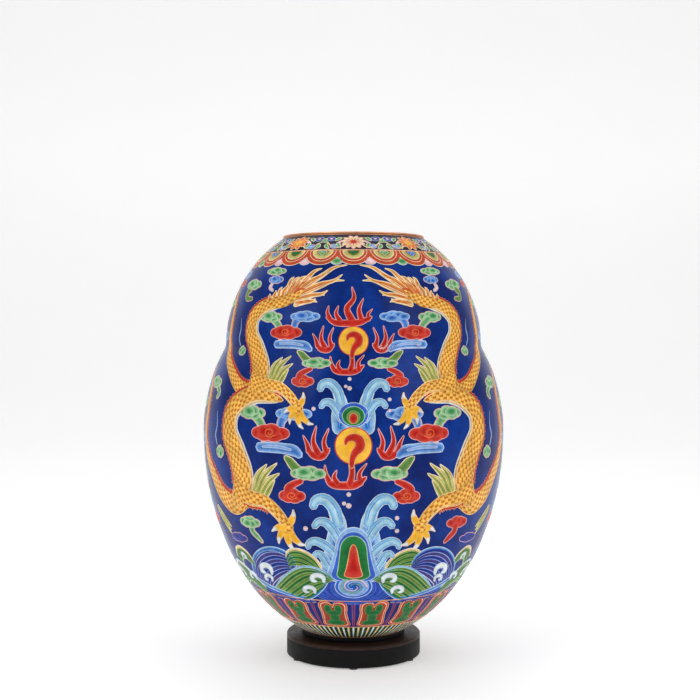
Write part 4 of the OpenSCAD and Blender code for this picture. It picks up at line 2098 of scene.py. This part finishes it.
@dataclass
class Stand:
    """The turned wooden stand.

    Attributes:
        wall: Radial width of the drum's wall.
        lap: How far the bottom board laps onto the drum.
        board: Thickness of the bottom board.
        chamfer: Size of the chamfer round the top board.
    """

    wall: float = 34.0
    lap: float = 16.0
    board: float = 7.0
    chamfer: float = 3.0

    def build(self) -> None:
        """Make the turned pieces, and dress the nodes that stay."""
        radius = widest("stand_drum")[0]
        foot, top = low("stand_drum"), high("stand_drum")
        inner = radius - self.wall
        drum = [(radius, foot), (radius, top), (inner, top), (inner, foot + self.board),
                (inner + self.lap, foot + self.board), (inner + self.lap, foot)]
        turned("drum", eased(drum, 1.2), BLACK, "stand", "stand_drum")
        foot, top = low("stand_top"), high("stand_top")
        board = [(0, foot), (radius, foot), (radius, top - self.chamfer),
                 (radius - self.chamfer, top), (0, top)]
        turned("top_board", eased(board, 1.1), WALNUT, "stand", "stand_top")
        # The seat collar is black lacquer like the drum. It also stands where the gap under the
        # vase lies in shadow, so its black is partly painted shade.
        outer = widest("stand_collar")[0]
        hole = widest("seat_felt")[0] + 1
        foot, top = low("stand_collar"), high("stand_collar")
        collar = [(outer, foot), (outer, top), (hole, top), (hole, foot)]
        turned("seat_collar_and_painted_shade", eased(collar, 1.5), BLACK, "stand", "stand_collar")
        for node, finish in (("stand_bottom", WALNUT), ("seat_felt", FELT),
                             ("floor_pads", FELT), ("stand_screws", ZINC)):
            dress(node, finish)


def dress(node: str, finish: Finish) -> None:
    """Give a node that stays in view its finish.

    Args:
        node: The node.
        finish: Its finish.
    """
    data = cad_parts[node].data
    data.materials.clear()
    data.materials.append(finish.material())
    log.info("%s: dressed in %s", node, finish.name)


# ---------------------------------------------------------------- the studio


class Studio:
    """A white floor and backdrop, soft lights and the camera."""

    distance = 2.976
    eye = 0.787
    lens = 63.8
    down = 1.155
    aside = 0.16

    def build(self) -> None:
        """Set the studio up."""
        self.build_backdrop()
        self.build_lights()
        self.build_camera()

    def build_backdrop(self) -> None:
        """Make the floor, which curves up into the wall behind."""
        mesh = bmesh.new()
        profile = [(0.0, -6.0, 0.0)]
        for i in range(13):
            turn = math.radians(90 * i / 12)
            profile.append((0.0, 4.0 + 2.0 * math.sin(turn), 2.0 - 2.0 * math.cos(turn)))
        profile.append((0.0, 6.0, 7.0))
        verts = [mesh.verts.new((-8.0, y, z)) for _, y, z in profile]
        edges = [mesh.edges.new(pair) for pair in zip(verts, verts[1:])]
        swept = bmesh.ops.extrude_edge_only(mesh, edges=edges)["geom"]
        moved = [item for item in swept if isinstance(item, bmesh.types.BMVert)]
        bmesh.ops.translate(mesh, vec=(16.0, 0.0, 0.0), verts=moved)
        bmesh.ops.recalc_face_normals(mesh, faces=mesh.faces)
        for face in mesh.faces:
            face.smooth = True
        data = bpy.data.meshes.new("backdrop")
        mesh.to_mesh(data)
        mesh.free()
        data.materials.append(PAPER.material())
        backdrop = bpy.data.objects.new("backdrop", data)
        bpy.context.scene.collection.objects.link(backdrop)

    def build_lights(self) -> None:
        """Light the room evenly, with two large soft boxes in front."""
        world = bpy.data.worlds.new("room")
        bpy.context.scene.world = world
        world.use_nodes = True
        world.node_tree.nodes["Background"].inputs["Color"].default_value = (1, 1, 1, 1)
        world.node_tree.nodes["Background"].inputs["Strength"].default_value = 0.44
        self.soft_box("left_box", (-3.0, -2.6, 3.2), 2.6, 48.0)
        self.soft_box("right_box", (3.0, -2.4, 2.8), 2.6, 40.0)
        self.soft_box("top_box", (0.0, 1.0, 4.2), 3.4, 42.0)

    def soft_box(self, name: str, place: tuple[float, float, float], size: float,
                 power: float) -> None:
        """Hang a square soft box that faces the vase.

        Args:
            name: Its name.
            place: Where it hangs.
            size: Its side.
            power: Its power in watts.
        """
        lamp = bpy.data.lights.new(name, "AREA")
        lamp.size = size
        lamp.energy = power
        box = bpy.data.objects.new(name, lamp)
        box.location = place
        aim = Vector((0.0, 0.0, 0.55)) - Vector(place)
        box.rotation_euler = aim.to_track_quat("-Z", "Y").to_euler()
        bpy.context.scene.collection.objects.link(box)

    def build_camera(self) -> None:
        """Stand the camera in front, a little above the middle."""
        data = bpy.data.cameras.new("camera")
        data.lens = self.lens
        data.sensor_width = 36.0
        camera = bpy.data.objects.new("camera", data)
        camera.location = (0.0, -self.distance, self.eye)
        camera.rotation_euler = (math.radians(90 - self.down), 0.0, math.radians(self.aside))
        bpy.context.scene.collection.objects.link(camera)
        bpy.context.scene.camera = camera
        bpy.context.scene.view_settings.view_transform = "Standard"


def main() -> None:
    """Build the vase, its stand and the studio."""
    logging.basicConfig(level=logging.INFO, format="%(name)s: %(message)s")
    Studio().build()
    skin = Skin()
    for node in ("dome_shell", "belly_shell", "bowl_shell", "base_disc"):
        dress(node, COPPER)
    Body(skin).build()
    Shoulder(skin).build()
    Tier("upper_tier", skin, skin.waist + 15, 0.82, False).build()
    Tier("lower_tier", skin, skin.belly - 3.5, 1.0, True).build()
    WaveField(skin, skin.belly - 3.5).build()
    FootBands(skin).build()
    Stand().build()


if __name__ == "__main__":
    main()
